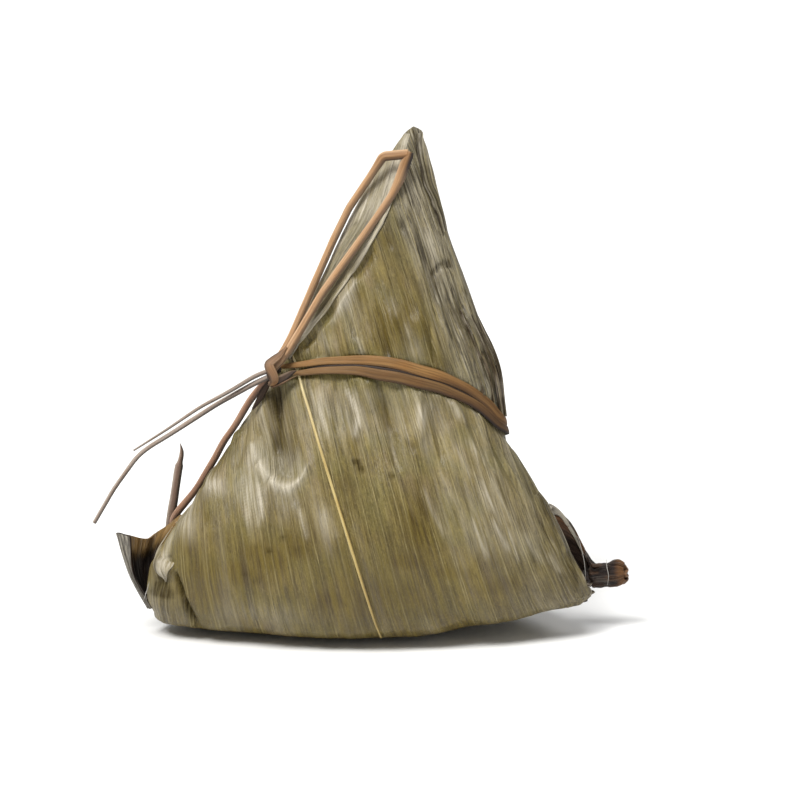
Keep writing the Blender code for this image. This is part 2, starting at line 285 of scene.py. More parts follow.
class Nodes:  # short ways to wire a material
    def __init__(self, name, colours):
        self.colours = colours
        self.material = bpy.data.materials.new(name)
        self.material.use_nodes = True
        self.tree = self.material.node_tree
        self.shader = self.tree.nodes["Principled BSDF"]

    def add(self, kind, **settings):
        node = self.tree.nodes.new(kind)
        for key, value in settings.items():
            setattr(node, key, value)
        return node

    def join(self, source, target):
        self.tree.links.new(source, target)

    def grain(self, across, along, offset=(0, 0)):  # the piece's UV map in millimetres, stretched
        uv = self.add("ShaderNodeUVMap", uv_map="grain")
        mapping = self.add("ShaderNodeMapping")
        mapping.inputs["Scale"].default_value = (across, along, 1)
        mapping.inputs["Location"].default_value = (*offset, 0)
        self.join(uv.outputs["UV"], mapping.inputs["Vector"])
        return mapping.outputs["Vector"]

    def noise(self, across, along, offset, detail, roughness):  # stretched along the grain
        node = self.add("ShaderNodeTexNoise")
        node.inputs["Scale"].default_value = 1
        node.inputs["Detail"].default_value = detail
        node.inputs["Roughness"].default_value = roughness
        self.join(self.grain(across, along, offset), node.inputs["Vector"])
        return node.outputs["Fac"]

    def fromLine(self, across, scale):  # distance from the nearest of many lines along the grain
        node = self.add("ShaderNodeTexVoronoi", voronoi_dimensions="1D", feature="F1")
        node.inputs["Scale"].default_value = scale
        self.join(across, node.inputs["W"])
        return node.outputs["Distance"]

    def marks(self):  # the piece's "marks" attribute: its three colours and its alpha
        attribute = self.add("ShaderNodeAttribute", attribute_name="marks")
        split = self.add("ShaderNodeSeparateColor")
        self.join(attribute.outputs["Color"], split.inputs[0])
        return split.outputs[0], split.outputs[1], split.outputs[2], attribute.outputs["Alpha"]

    def between(self, value, low, high, to=(0, 1)):  # rescales a value with soft ends
        node = self.add("ShaderNodeMapRange", interpolation_type="SMOOTHSTEP")
        for key, number in (("From Min", low), ("From Max", high), ("To Min", to[0]), ("To Max", to[1])):
            node.inputs[key].default_value = number
        self.join(value, node.inputs["Value"])
        return node.outputs["Result"]

    def set(self, *pairs):  # each pair is a socket and a number, a colour or the output to join to it
        for socket, value in pairs:
            if isinstance(value, (int, float, tuple)):
                socket.default_value = value
            else:
                self.join(value, socket)

    def maths(self, operation, a, b):
        node = self.add("ShaderNodeMath", operation=operation)
        self.set(*zip(node.inputs, (a, b)))
        return node.outputs[0]

    def times(self, a, b):
        return self.maths("MULTIPLY", a, b)

    def mix(self, share, a, b):  # blends two colours, each an output or a name in the palette
        node = self.add("ShaderNodeMix", data_type="RGBA")
        a, b = (self.colours[value] if isinstance(value, str) else value for value in (a, b))
        self.set((node.inputs[0], share), (node.inputs[6], a), (node.inputs[7], b))
        return node.outputs[2]

    def coats(self, colour, noises, rows):  # lays on coats, each where its noise is between two values
        for key, low, high, strength, over in rows:
            colour = self.mix(self.between(noises[key], low, high, (0, strength)), colour, over)
        return colour

    def bump(self, *heights):  # heights: pairs of (value, height in metres)
        normal = None
        for value, height in heights:
            node = self.add("ShaderNodeBump")
            node.inputs["Strength"].default_value = 1
            node.inputs["Distance"].default_value = height
            self.join(value, node.inputs["Height"])
            if normal is not None:
                self.join(normal, node.inputs["Normal"])
            normal = node.outputs["Normal"]
        self.join(normal, self.shader.inputs["Normal"])

    def surface(self, colour, roughness, sheen):
        self.join(colour, self.shader.inputs["Base Color"])
        self.join(roughness, self.shader.inputs["Roughness"])
        self.shader.inputs["Specular IOR Level"].default_value = sheen


leafNoise = dict(  # stretch across and along the grain, offset, detail, roughness
    fine=(2.7, 0.15, (0, 0), 3, 0.76), streak=(1.15, 0.05, (7, 3), 4, 0.68),
    broad=(0.3, 0.05, (3, 9), 3, 0.6), mottle=(1.0, 0.3, (5, 1), 4, 0.72),
    speck=(3.6, 1.7, (1, 8), 3, 0.75), blotch=(0.45, 0.12, (8, 5), 4, 0.66),
    drift=(0.13, 0.11, (6, 2), 2, 0.5), crisp=(1.9, 0.07, (2, 6), 3, 0.66),
    thin=(2.9, 0.08, (9, 4), 3, 0.62), tick=(2.6, 0.3, (11, 2), 2, 0.5),
    wander=(0.1, 0.03, (1, 5), 1, 0.5),
)
leafCoats = [  # over the ground colour: noise, where it starts and is full, strength, colour
    ("mottle", 0.45, 0.72, 0.35, "deep"), ("broad", 0.48, 0.68, 0.6, "deep"),
    ("broad", 0.48, 0.32, 0.55, "rose"), ("drift", 0.42, 0.62, 0.4, "green"),
]
stainedCoats = [  # over the grey and the stains, in the same way
    ("blotch", 0.5, 0.66, 0.52, "deep"), ("blotch", 0.46, 0.32, 0.34, "straw"),
    ("fine", 0.52, 0.72, 0.45, "straw"), ("fine", 0.48, 0.3, 0.6, "deep"),
    ("speck", 0.53, 0.68, 0.36, "straw"), ("speck", 0.47, 0.32, 0.48, "deep"),
]
leafVeins = dict(  # lines a millimetre, half-widths as shares of their spacing, wandering, strengths
    broad=0.45, broadWidth=0.085, groove=(0.255, 0.102), thread=1.4, threadWidth=0.2, softEdge=0.2,
    wander=1.2, veinStrength=0.5, grooveStrength=0.14, threadStrength=0.12,
)
leafBump = dict(fine=0.00018, streak=0.0004, speck=0.00006, vein=0.00008)  # heights in metres


def leafFinish(name, colours, sheen=0.5, roughness=(0.36, 0.56), veinStrength=1.0, relief=1.0):
    # Cooked bamboo leaf: a streaked ground, mottled and greyed, then soaked stains, light veins 2 mm
    # apart with finer ones between, whitish bloom and painted highlights, and dark dirt and painted shade.
    # The "marks" attribute gives stain, bloom with painted highlights and dirt with painted shade in its
    # three colours and greyness in its alpha. Where dirt or painted shade lies, the leaf shines less.
    n = Nodes(name, colours)
    g = {key: n.noise(*settings) for key, settings in leafNoise.items()}
    stain, bloom, dirt, aged = n.marks()
    separate = n.add("ShaderNodeSeparateXYZ")
    n.join(n.grain(1, 1), separate.inputs[0])
    across = n.maths("ADD", separate.outputs[0], n.times(g["wander"], leafVeins["wander"]))
    broad, thread = n.fromLine(across, leafVeins["broad"]), n.fromLine(across, leafVeins["thread"])
    vein = n.between(broad, leafVeins["broadWidth"], leafVeins["broadWidth"] * leafVeins["softEdge"])
    vein = n.times(vein, n.between(g["streak"], 0.38, 0.56, (0.2, 1)))
    groove = n.between(broad, *leafVeins["groove"])
    thread = n.between(thread, leafVeins["threadWidth"], leafVeins["threadWidth"] * leafVeins["softEdge"])
    colour = n.mix(n.between(g["streak"], 0.3, 0.68), "ground", "pale")
    colour = n.coats(colour, g, leafCoats)
    greyed = n.mix(n.between(g["streak"], 0.3, 0.68), "grey", "greyPale")
    greyed = n.coats(greyed, g, [("broad", 0.35, 0.7, 0.6, "greyDeep")])
    colour = n.mix(aged, colour, greyed)
    stained = n.mix(n.between(g["streak"], 0.35, 0.65), "stain", "stainPale")
    colour = n.mix(n.times(stain, n.between(g["mottle"], 0.25, 0.6, (1, 0.8))), colour, stained)
    colour = n.coats(colour, g, stainedCoats)
    colour = n.mix(n.times(thread, leafVeins["threadStrength"] * veinStrength), colour, "vein")
    colour = n.mix(n.times(groove, leafVeins["grooveStrength"] * veinStrength), colour, "deep")
    colour = n.mix(n.times(stain, 0.55), colour, stained)
    soaked = n.times(n.between(stain, 0.5, 1.1), n.between(g["mottle"], 0.4, 0.6, (0.1, 1)))
    colour = n.mix(n.times(soaked, n.between(g["streak"], 0.35, 0.6, (0.9, 0.5))), colour, stained)
    vein = n.times(vein, n.between(stain, 0.2, 0.9, (1, 0.45)))
    colour = n.mix(n.times(vein, leafVeins["veinStrength"] * veinStrength), colour, "vein")
    # whitish bloom and painted highlights, broken along the grain
    broken = n.times(bloom, n.between(g["crisp"], 0.38, 0.58, (0.35, 1)))
    colour = n.mix(n.maths("MAXIMUM", broken, n.maths("SUBTRACT", bloom, 0.3)), colour, "bloom")
    # dirt and painted shade, broken by fine noise
    dirtyAndShaded = n.times(dirt, n.between(g["fine"], 0.25, 0.6, (1, 0.55)))
    colour = n.mix(dirtyAndShaded, colour, "dirt")
    cracked = n.maths("ADD", n.times(aged, 0.6), 0.12)
    for where, key, low, high, strength, over in (  # the fine wear of the aged parts, and small dark ticks
        (aged, "thin", 0.46, 0.34, 0.42, "bloom"), (cracked, "thin", 0.54, 0.62, 1, "dirt"),
        (aged, "tick", 0.58, 0.66, 0.6, "dirt"), (0.45, "tick", 0.69, 0.75, 1, "dirt"),
    ):
        colour = n.mix(n.times(n.between(g[key], low, high, (0, strength)), where), colour, over)
    n.surface(colour, n.between(g["streak"], 0.3, 0.7, roughness), sheen)
    n.join(n.between(dirtyAndShaded, 0, 0.8, (sheen, 0.15 * sheen)), n.shader.inputs["Specular IOR Level"])
    g["vein"] = vein
    n.bump(*((g[key], height * relief) for key, height in leafBump.items()))
    return n.material


grassNoise = dict(  # stretch across and along the grain, offset, detail, roughness
    fibre=(5.5, 0.1, (0, 0), 3, 0.6), band=(1.6, 0.05, (4, 1), 2, 0.5), patch=(0.3, 0.16, (2, 6), 2, 0.5),
)
grassCoats = [("fibre", 0.55, 0.25, 0.6, "deep"), ("patch", 0.45, 0.7, 0.55, "warm")]
grassBump = dict(fibre=0.00012, band=0.00012)


def grassFinish(name, colours, sheen=0.4, roughness=(0.45, 0.65)):
    # Split grass: long fibres, paler worn ridges and darker grooves, and two marks: dark, with painted
    # shade, and bloom, with painted highlights
    n = Nodes(name, colours)
    g = {key: n.noise(*settings) for key, settings in grassNoise.items()}
    dark, bloom, *_ = n.marks()
    colour = n.mix(n.between(g["band"], 0.35, 0.68), "ground", "pale")
    colour = n.coats(colour, g, grassCoats)
    colour = n.mix(bloom, n.mix(dark, colour, "dark"), "bloom")
    n.surface(colour, n.between(g["fibre"], 0.3, 0.7, roughness), sheen)
    n.bump(*((g[key], height) for key, height in grassBump.items()))
    return n.material


# bloom is the colour of the whitish bloom and of painted highlights; dirt that of dirt and painted shade
leafColours = palette(
    ground=(101, 86, 37), pale=(121, 105, 53), straw=(145, 129, 74), deep=(60, 49, 19), vein=(158, 144, 98),
    stain=(66, 50, 2), stainPale=(98, 82, 14), bloom=(186, 177, 157), dirt=(36, 28, 16),
    grey=(112, 105, 84), greyPale=(148, 141, 121), greyDeep=(68, 60, 46), green=(94, 92, 46),
    rose=(134, 118, 92),
)
greyLeafColours = palette(
    leafColours, ground=(116, 110, 98), pale=(150, 144, 132), straw=(172, 166, 154), deep=(74, 68, 60),
    vein=(176, 170, 158), grey=(60, 54, 50), greyPale=(92, 84, 76), greyDeep=(40, 34, 32),
    green=(104, 100, 90), stainPale=(120, 106, 76), rose=(132, 122, 110),
)
darkLeafColours = palette(
    leafColours, ground=(44, 32, 25), pale=(66, 48, 34), straw=(86, 62, 42), deep=(24, 19, 18),
    vein=(76, 56, 40), stain=(122, 80, 40), rose=(54, 40, 34), bloom=(170, 164, 154), dirt=(14, 12, 13),
    grey=(34, 27, 30), greyPale=(52, 42, 44), greyDeep=(20, 16, 20), green=(40, 30, 22),
    stainPale=(150, 104, 60),
)
# dark is the colour of dark marks and painted shade; bloom that of wear and painted highlights
grassColours = palette(
    ground=(112, 83, 49), pale=(142, 113, 76), deep=(62, 43, 25), warm=(130, 93, 48), dark=(34, 24, 19),
    bloom=(204, 172, 136),
)
dryGrassColours = palette(
    grassColours, ground=(120, 101, 90), pale=(163, 147, 135), deep=(76, 60, 52), warm=(126, 96, 72),
    bloom=(200, 190, 176),
)

parcel = dict(  # its four outlines as (height, reach), and the make-up of its section
    height=93.5,
    left=[(0, -20), (0.7, -30), (2, -36.5), (5, -39.6), (12, -40.2), (14.6, -39.5), (16.4, -38.1),
        (18.6, -36.9), (23, -34.3), (30, -28.9), (36, -25), (41, -21.9), (47, -17.9), (56, -12.7),
        (66, -7.7), (78, -1.7), (87, 3.7), (91.2, 6.6), (92.8, 7.9), (93.5, 9)],
    right=[(0, 10), (0.5, 24), (1.8, 35), (4, 40.8), (8, 41.2), (15, 38), (24, 34.4), (31, 30.3),
        (37, 26.7), (43, 25.3), (50, 24.1), (57, 21.8), (67, 18.2), (79, 14.1), (88, 12), (91.5, 11.1),
        (93, 10.2), (93.5, 9)],
    front=[(0, -13), (0.9, -19.5), (3, -25), (6, -27.6), (11, -29), (20, -28.6), (32, -24.5), (44, -18.5),
        (50, -17), (60, -13.5), (75, -7.5), (88, -2.5), (92, -1), (93.5, 1)],
    back=[(0, 18), (0.9, 27), (3, 33), (7, 35.5), (14, 34.5), (30, 27), (45, 19), (55, 16), (70, 11.5),
        (85, 6), (92, 3), (93.5, 1)],
    sideFacing=(-113, -90, -67, 36, 144), sidePush=(1.13, 1, 1.13, 1, 1), sharpness=7, cornerLift=4.4,
    liftStart=10, liftFade=30, cornerReach=41.2,
    turnProbe=0.5, heightProbe=0.3,
)


def section(degrees):  # a rounded polygon: the soft overlap of its flat sides
    turn = np.radians(degrees)[..., None]
    facing, push = np.radians(parcel["sideFacing"]), np.array(parcel["sidePush"])
    total = ((np.maximum(0, np.cos(turn - facing)) / push) ** parcel["sharpness"]).sum(-1)
    reach = total ** (-1 / parcel["sharpness"])
    return np.stack([reach * np.cos(turn[..., 0]), reach * np.sin(turn[..., 0])], -1)


sectionRound = section(np.arange(0, 360, 0.5))
sectionLow, sectionHigh = sectionRound.min(axis=0), sectionRound.max(axis=0)


def parcelAt(degrees, height):  # the section stretched to the four reaches, with the right corner lifted
    degrees, height = np.broadcast_arrays(np.asarray(degrees, float), np.asarray(height, float))
    share = (section(degrees) - sectionLow) / (sectionHigh - sectionLow)
    left, right, front, back = (
        throughKeys(parcel[side], height)[..., 0] for side in ("left", "right", "front", "back")
    )
    x = left + (right - left) * share[..., 0]
    y = front + (back - front) * share[..., 1]
    outward = np.maximum(0, x - parcel["liftStart"]) / (parcel["cornerReach"] - parcel["liftStart"])
    lift = parcel["cornerLift"] * outward * np.maximum(0, 1 - height / parcel["liftFade"]) ** 2
    return np.stack([x, y, height + lift], -1)


def facingAt(degrees, height):  # the surface's outward direction, from two short steps over it
    turn, rise = parcel["turnProbe"], parcel["heightProbe"]
    roundIt = parcelAt(degrees + turn, height) - parcelAt(degrees - turn, height)
    upIt = parcelAt(degrees, height + rise) - parcelAt(degrees, height - rise)
    return unit(np.cross(roundIt, upIt))


acrossNet = dict(  # degrees round, millimetres below the top, and the search the other way round
    step=0.5, back=-270.0, rows=240, topGap=0.05, searchFrom=-268.0, searchTo=88.0, halvings=16,
)


def makeAcrossTable():  # distances round the leaf for a net of heights and directions
    fineTurn = np.arange(acrossNet["back"], 90 + acrossNet["step"] / 2, acrossNet["step"])
    rows = np.linspace(0, parcel["height"] - acrossNet["topGap"], acrossNet["rows"])
    points = parcelAt(fineTurn[None, :], rows[:, None])
    along = lengthAlong(points)
    middle = np.argmin(abs(fineTurn + 90))
    return along - along[:, middle:middle + 1] + points[:, middle, 0][:, None]


acrossTable = makeAcrossTable()


def acrossAt(degrees, height):
    # Distance round the leaf from its front middle, plus where that middle lies, read between the
    # corners of the net
    rows, columns = acrossTable.shape
    degrees = np.asarray(degrees, float)
    degrees = np.where(degrees > 90, degrees - 360, degrees)  # the leaf's two sides meet at 90
    column = np.clip((degrees - acrossNet["back"]) / acrossNet["step"], 0, columns - 1.001)
    row = np.clip(height / (parcel["height"] - acrossNet["topGap"]) * (rows - 1), 0, rows - 1.001)
    i, j = np.floor(row).astype(int), np.floor(column).astype(int)
    fi, fj = row - i, column - j
    low = acrossTable[i, j] * (1 - fj) + acrossTable[i, j + 1] * fj
    high = acrossTable[i + 1, j] * (1 - fj) + acrossTable[i + 1, j + 1] * fj
    return low * (1 - fi) + high * fi


def directionAt(across, height):  # the other way round, by halving
    low = np.full(np.broadcast(across, height).shape, acrossNet["searchFrom"])
    high = np.full(low.shape, acrossNet["searchTo"])
    for _ in range(acrossNet["halvings"]):
        middle = (low + high) / 2
        short = acrossAt(middle, height) < across
        low, high = np.where(short, middle, low), np.where(short, high, middle)
    return (low + high) / 2


# The leaf's relief and marks, in its own coordinates: across it, and height
veins = dict(
    middleHeight=45, lean=0.277, fan=0.0035,  # the veins lean to the right going down, and fan out
    major=(1.15, 0.085), minor=(0.42, 0.035), bundle=(3.4, 0.2), seed=11,
)
waistTie = dict(  # the two turns of grass, as (direction in degrees, height)
    upper=[(-160, 50), (-151, 51), (-140, 52.1), (-129, 52.5), (-114, 52.7), (-98, 52.6), (-81, 52.1),
        (-65, 51), (-51, 49.8), (-42, 48.5), (-35, 47.2), (-30, 45.7), (-26, 44.1), (-22.5, 41.9),
        (-18, 40.8), (-10, 40.2), (15, 40.5), (45, 42), (90, 46), (135, 49), (165, 50), (182, 50),
        (190, 50)],
    lower=[(-149, 49.3), (-138, 50.4), (-126, 50.7), (-112, 50.7), (-96, 50.1), (-80, 49.6),
        (-64.5, 48.6), (-51, 47.6), (-42, 46.2), (-35, 44.8), (-30.5, 43.4), (-27, 41.7), (-23, 39.5),
        (-17, 37), (-8, 34.4), (10, 32), (30, 30.5), (60, 28.5), (90, 27.5), (120, 26), (150, 24.5),
        (178, 23.5), (190, 25), (196, 28.5)],
    press=0.7, swell=0.75,
)
folds = [  # across and height at the top, the same at the bottom, half-width, height (below 0 is a groove)
    (-17.2, 47.6, -16.4, 42.5, 0.7, -1.5), (-16.4, 42.5, -17.2, 36, 1.0, -0.7),
    (-18.8, 45.5, -20.4, 39, 1.2, 0.6), (-13.6, 47.5, -13.3, 41, 1.3, 0.55),
    (-11, 46.7, -8.9, 41, 0.6, -0.4), (-7.9, 47.8, -6.0, 40, 0.9, 0.6), (-5.9, 47.9, -4.4, 41, 0.6, -0.6),
    (-4.1, 48.6, -2.0, 38, 0.8, 0.8), (2.2, 48.9, 4.7, 40, 0.9, -1.0), (4.7, 40, 5.8, 34, 0.9, -0.5),
    (-0.4, 48.9, 1.5, 43.5, 1.1, 0.6), (6.2, 47.5, 7.8, 42, 0.8, 0.35), (10.1, 47.3, 10.3, 38, 1.3, 0.9),
    (7.9, 38.7, 8.9, 36.8, 0.35, -0.5), (12.6, 44, 14.4, 35, 0.6, -0.6), (16.2, 45.5, 18.7, 40, 0.7, 0.6),
    (14.4, 46, 16.2, 41, 0.6, -0.4), (18.6, 40, 21.8, 34.5, 0.8, 0.4), (19.3, 43, 24.2, 32.6, 0.5, -0.5),
    (21.2, 40, 28.4, 27, 0.5, 0.5), (22.8, 39.5, 29.2, 28.5, 0.4, -0.5), (24.2, 38.5, 31.5, 26, 0.5, 0.4),
    (25.6, 37, 33.6, 24.5, 0.5, -0.5), (32.7, 25, 36.4, 18, 0.5, -0.45), (28.6, 32, 34.5, 23, 0.5, 0.35),
    (35.5, 24, 39, 16, 0.5, 0.35), (36.3, 22, 39.6, 13, 0.4, -0.4), (-21.6, 37.8, -19.8, 34.2, 0.9, 0.7),
    (-19.8, 34.2, -17.6, 31.6, 0.9, 0.9), (-17.6, 31.6, -15.4, 30.4, 0.9, 1.0),
    (-15.4, 30.4, -13.2, 30.6, 0.9, 0.9), (-13.2, 30.6, -11.6, 32.2, 0.85, 0.8),
    (-11.6, 32.2, -10.2, 35, 0.85, 0.5), (-17.4, 33.6, -15.2, 32.2, 0.7, -0.5),
    (-15.2, 32.2, -13.2, 32.6, 0.7, -0.5), (-20.4, 36.5, -20.0, 26, 0.6, 0.5),
    (-22.4, 33, -21.8, 25, 0.5, -0.3), (-23.8, 31.5, -22.4, 23.5, 0.6, 0.5),
    (-12.9, 28, -11, 22.5, 0.6, 0.4), (-17.5, 30.5, -16.4, 26, 0.5, 0.35), (-4.6, 33, -2, 24, 0.7, -0.35),
    (-36.2, 14.2, -35.4, 12.3, 0.35, -0.8), (-35.4, 12.3, -34.2, 9.2, 0.35, -1.3),
    (-34.2, 9.2, -32.6, 5.5, 0.4, -1.3), (-32.6, 5.5, -31.4, 2.5, 0.5, -0.8),
    (-38.6, 9, -36.2, 3.5, 1.2, 0.2), (-25.5, 44, -27.5, 36, 0.9, 0.45), (-23, 41, -24.5, 33, 1.0, -0.45),
    (-29.5, 31, -30, 24, 0.8, 0.4), (-1.2, 66.5, -5.8, 60, 1.1, 0.95), (-5.8, 60, -9.5, 56.2, 1.0, 0.5),
    (9.4, 60.5, 10.6, 56, 0.9, 0.65), (-1.8, 57, -0.9, 53.4, 0.7, 0.55), (4.4, 61, 6.2, 53.5, 0.8, 0.4),
    (2.4, 62, 4.4, 54, 0.7, -0.35), (1.6, 72.2, -2.4, 66.6, 0.8, -0.9),
    (-5.4, 62.6, -9.3, 57.4, 0.8, -0.9), (-9.3, 57.4, -12.2, 54.4, 0.6, -0.8),
    (12, 59, 12.8, 51.5, 0.5, -0.5), (5.6, 77.8, 7.1, 75, 0.35, -0.5), (4.2, 74, 5.0, 72.2, 0.3, -0.4),
    (12.7, 67.2, 14.4, 69.1, 0.25, -0.4), (14.4, 69.1, 16.1, 68.6, 0.3, -0.5),
    (14.6, 72, 16.6, 67.6, 0.35, -0.55), (16.6, 67.6, 19, 61, 0.4, -0.4),
    (17.5, 64, 20.5, 55, 0.4, -0.55), (15.2, 64, 17.6, 56.5, 0.4, -0.45), (19.2, 60, 22, 53, 0.45, 0.5),
    (13.6, 63, 15.8, 55, 0.4, 0.35), (18.4, 58, 20.2, 51, 0.4, 0.45), (3.2, 66, 5.4, 58, 0.8, 0.3),
    (5.8, 70, 8.6, 60, 0.9, -0.3), (8.5, 76, 11.5, 64, 0.8, 0.4), (10, 79, 13, 68, 0.45, -0.45),
    (7.4, 80, 10, 72, 0.5, 0.35), (11.4, 74, 14, 66, 0.45, 0.35),
]
hollows = [  # across, height, half-width, half-height, depth (below 0) or swelling
    (-15.4, 36.2, 3.0, 4.4, -1.3), (-26, 21, 7, 8, 0.4), (3, 24, 9, 12, 0.35), (-3, 68, 4, 6, 0.3),
    (20, 28, 6, 9, 0.3), (13, 33, 3, 6, -0.35), (6, 58, 5, 5, 0.4), (-30, 30, 3, 3, 0.4),
    (-37.6, 15.5, 1.2, 1.2, -0.5), (-39, 11.6, 2.2, 1.8, -0.9), (24.5, 50, 1.6, 4.5, 0.5),
    (-5, 41, 5, 5, 0.35), (22, 20, 6, 6, 0.3),
]
marks = dict(  # each is across, height, half-width, half-height, strength, and lies along the veins
    # stain spots; the one at -16.8, 43 browns the painted shade in the valley under the knot
    stain=[(-22.8, 15.2, 3.2, 1.9, 1.2), (-18.4, 18.4, 3.4, 2.2, 1.2), (-12.8, 20.8, 2, 2, 1.2),
        (-12.6, 28, 2.0, 1.8, 1.2), (-42, 13.6, 1.6, 2.4, 0.8), (-16.8, 43, 1.4, 3.6, 1.1),
        (-40.4, 14.4, 1.1, 1.9, 1.4), (-34, 19.1, 1.5, 1.5, 0.9), (-17, 39, 1.5, 5.5, 0.8),
        (-9.5, 24, 1.6, 3, 0.8), (8, 18, 3.4, 1.6, 0.7), (16, 15.4, 3.6, 1.4, 0.7), (26, 12, 3, 2, 0.6),
        (-6.4, 11, 3, 2, 0.6), (9.6, 23, 2, 4, 0.8), (11.4, 27, 1.8, 5, 0.6), (3, 12, 9, 5, 0.4),
        (23, 18.5, 2, 4, 0.5), (3.6, 73.5, 2.4, 3, 0.8), (6, 61, 6.5, 5, 0.5), (-14.5, 37, 2.2, 3, 0.5),
        (4.5, 42, 1.6, 5, 0.4), (-29, 12, 4, 5, 0.45), (-2, 32, 2, 5, 0.3)],
    # whitish bloom and painted highlights, among them the haze low at the left
    bloom=[(-20.6, 35, 1.5, 3, 0.35), (-21, 29, 1.6, 3.4, 0.2), (-8, 25, 1.2, 5, 0.35),
        (-18, 7.5, 6, 2.4, 0.22), (-29.5, 29.5, 2.4, 1.6, 0.7), (-34, 23, 1.6, 3, 0.5),
        (-3.4, 62.8, 1.6, 3.8, 0.6), (-8, 56, 1.8, 2, 0.4), (8.8, 54.5, 1.6, 2.4, 0.35),
        (12.8, 71, 2.6, 5, 0.4), (10.2, 42.5, 1.1, 3.2, 0.4), (8.8, 82.6, 1.5, 3.8, 0.5)],
    # dirt spots, and painted shade in the valley under the knot and the hollows at the left corner
    dirt=[(-14.6, 36, 1.4, 3, 0.3), (9.3, 92.3, 0.7, 1.1, 0.75), (-38.6, 7.6, 3.2, 4.5, 0.35),
        (24, 51.5, 1.2, 2.6, 0.9), (25.3, 47.5, 1, 2, 0.8), (22.2, 50, 0.6, 2.6, 0.8),
        (17.8, 59.5, 0.9, 4, 0.55), (20.6, 56.5, 0.8, 3.5, 0.6), (15.4, 69.4, 0.8, 0.9, 0.8),
        (-1.5, 35.2, 0.65, 0.55, 2), (-0.8, 34.2, 0.55, 0.6, 2), (4.9, 33, 0.55, 0.5, 1.8),
        (-38.4, 9.7, 1.9, 1, 1.6), (-40.6, 9.4, 1.2, 0.9, 1.2), (-17, 45, 0.8, 2.6, 0.95),
        (19.4, 21.5, 0.4, 1.4, 0.5), (25.8, 40, 1.2, 4, 0.5), (-17.6, 19.6, 0.6, 0.5, 1),
        (-15, 22, 0.5, 0.5, 0.9), (-22, 15, 1.2, 0.7, 0.4), (-12.4, 20, 0.9, 0.7, 0.4),
        (-19.6, 14, 1.6, 0.6, 0.35), (-40.4, 14.6, 0.6, 1.4, 0.5), (-39.6, 10.2, 1.8, 1.0, 0.6),
        (-37.9, 16.7, 0.5, 0.5, 0.9), (-39.6, 10.7, 1.5, 0.8, 0.9)],
)
glints = [  # whitish lines of painted highlight: across and height at each end, half-width, strength
    (-21.4, 37.4, -19.8, 34.2, 0.9, 0.8), (-19.8, 34.3, -17.7, 31.7, 0.8, 1.5),
    (-17.7, 31.7, -15.5, 30.4, 0.75, 1.7), (-15.5, 30.4, -13.3, 30.6, 0.7, 1.5),
    (-13.3, 30.6, -11.7, 32.3, 0.65, 1.2), (-11.7, 32.3, -10.2, 34.8, 0.7, 0.6),
    (-23.1, 32.3, -21.4, 23.4, 0.42, 0.66), (-19.7, 30.9, -18.7, 24.8, 0.42, 0.7),
    (-19.9, 32.6, -19.2, 24, 0.42, 0.47), (-22.3, 35.2, -21, 28, 0.42, 0.54),
    (-24.2, 31, -23.3, 26.9, 0.42, 0.39), (-11.9, 27.2, -10.6, 22, 0.42, 0.7),
    (-7.6, 27.4, -5.4, 22, 0.8, 0.5), (-14.6, 36.4, -13.4, 32, 0.42, 0.29),
    (-12.9, 38, -12, 33, 0.42, 0.35), (-20.6, 28, -19.7, 23.4, 0.42, 0.47),
    (-3.6, 47.8, -1.2, 43.3, 0.42, 1.06), (-1.2, 43.3, -1.9, 39.2, 0.42, 0.96),
    (-10, 47.1, -6.2, 39.1, 0.42, 0.61), (-2.6, 46.4, -0.4, 40.6, 0.42, 0.54),
    (-8.3, 46.8, -6.1, 42.1, 0.42, 0.52), (9.9, 45.4, 9.5, 40.2, 0.5, 0.4),
    (11, 45, 10.6, 40, 0.42, 0.48), (15.5, 45.4, 17.3, 41.7, 0.5, 0.6),
    (16.8, 44.6, 18.4, 41, 0.42, 0.44), (18.4, 38.1, 22.9, 34.2, 0.7, 0.35),
    (10.6, 30.9, 14.6, 22.1, 0.42, 0.47), (19.4, 24.9, 22.5, 17.6, 0.42, 0.65),
    (23.4, 24.6, 26.9, 18.4, 0.42, 0.7), (26.8, 22.3, 28.8, 16.1, 0.42, 0.65),
    (29.6, 21.5, 33.7, 15, 0.42, 0.44), (34.8, 17, 37.2, 12.3, 0.5, 0.6),
    (16.7, 37.5, 19.5, 31.5, 0.42, 0.48), (21.4, 31.4, 25.2, 23.4, 0.42, 0.52),
    (20.2, 33, 23, 26, 0.42, 0.39), (23.4, 32, 27.2, 24, 0.42, 0.35),
    (13.8, 33.6, 16.6, 27.5, 0.42, 0.39), (-1.7, 67, -2.4, 64.5, 0.6, 0.8),
    (-2.4, 64.5, -6.4, 58.9, 0.7, 0.8), (-1.3, 56.7, -0.3, 53.6, 0.42, 0.7),
    (7.3, 59.4, 8.2, 56.7, 0.42, 0.52), (4.6, 63.9, 5.7, 60.2, 0.42, 0.39),
    (10.3, 91.4, 10.4, 88.6, 0.42, 0.49), (-38.8, 17.4, -38.3, 12.6, 0.5, 0.7),
    (-33, 28, -35.4, 24.3, 0.9, 0.4), (-35.4, 24.3, -37.5, 21, 1.2, 0.5),
    (-37.5, 21, -39, 17.6, 1.1, 0.55), (-39.2, 17.4, -39, 13.6, 0.9, 0.6),
]
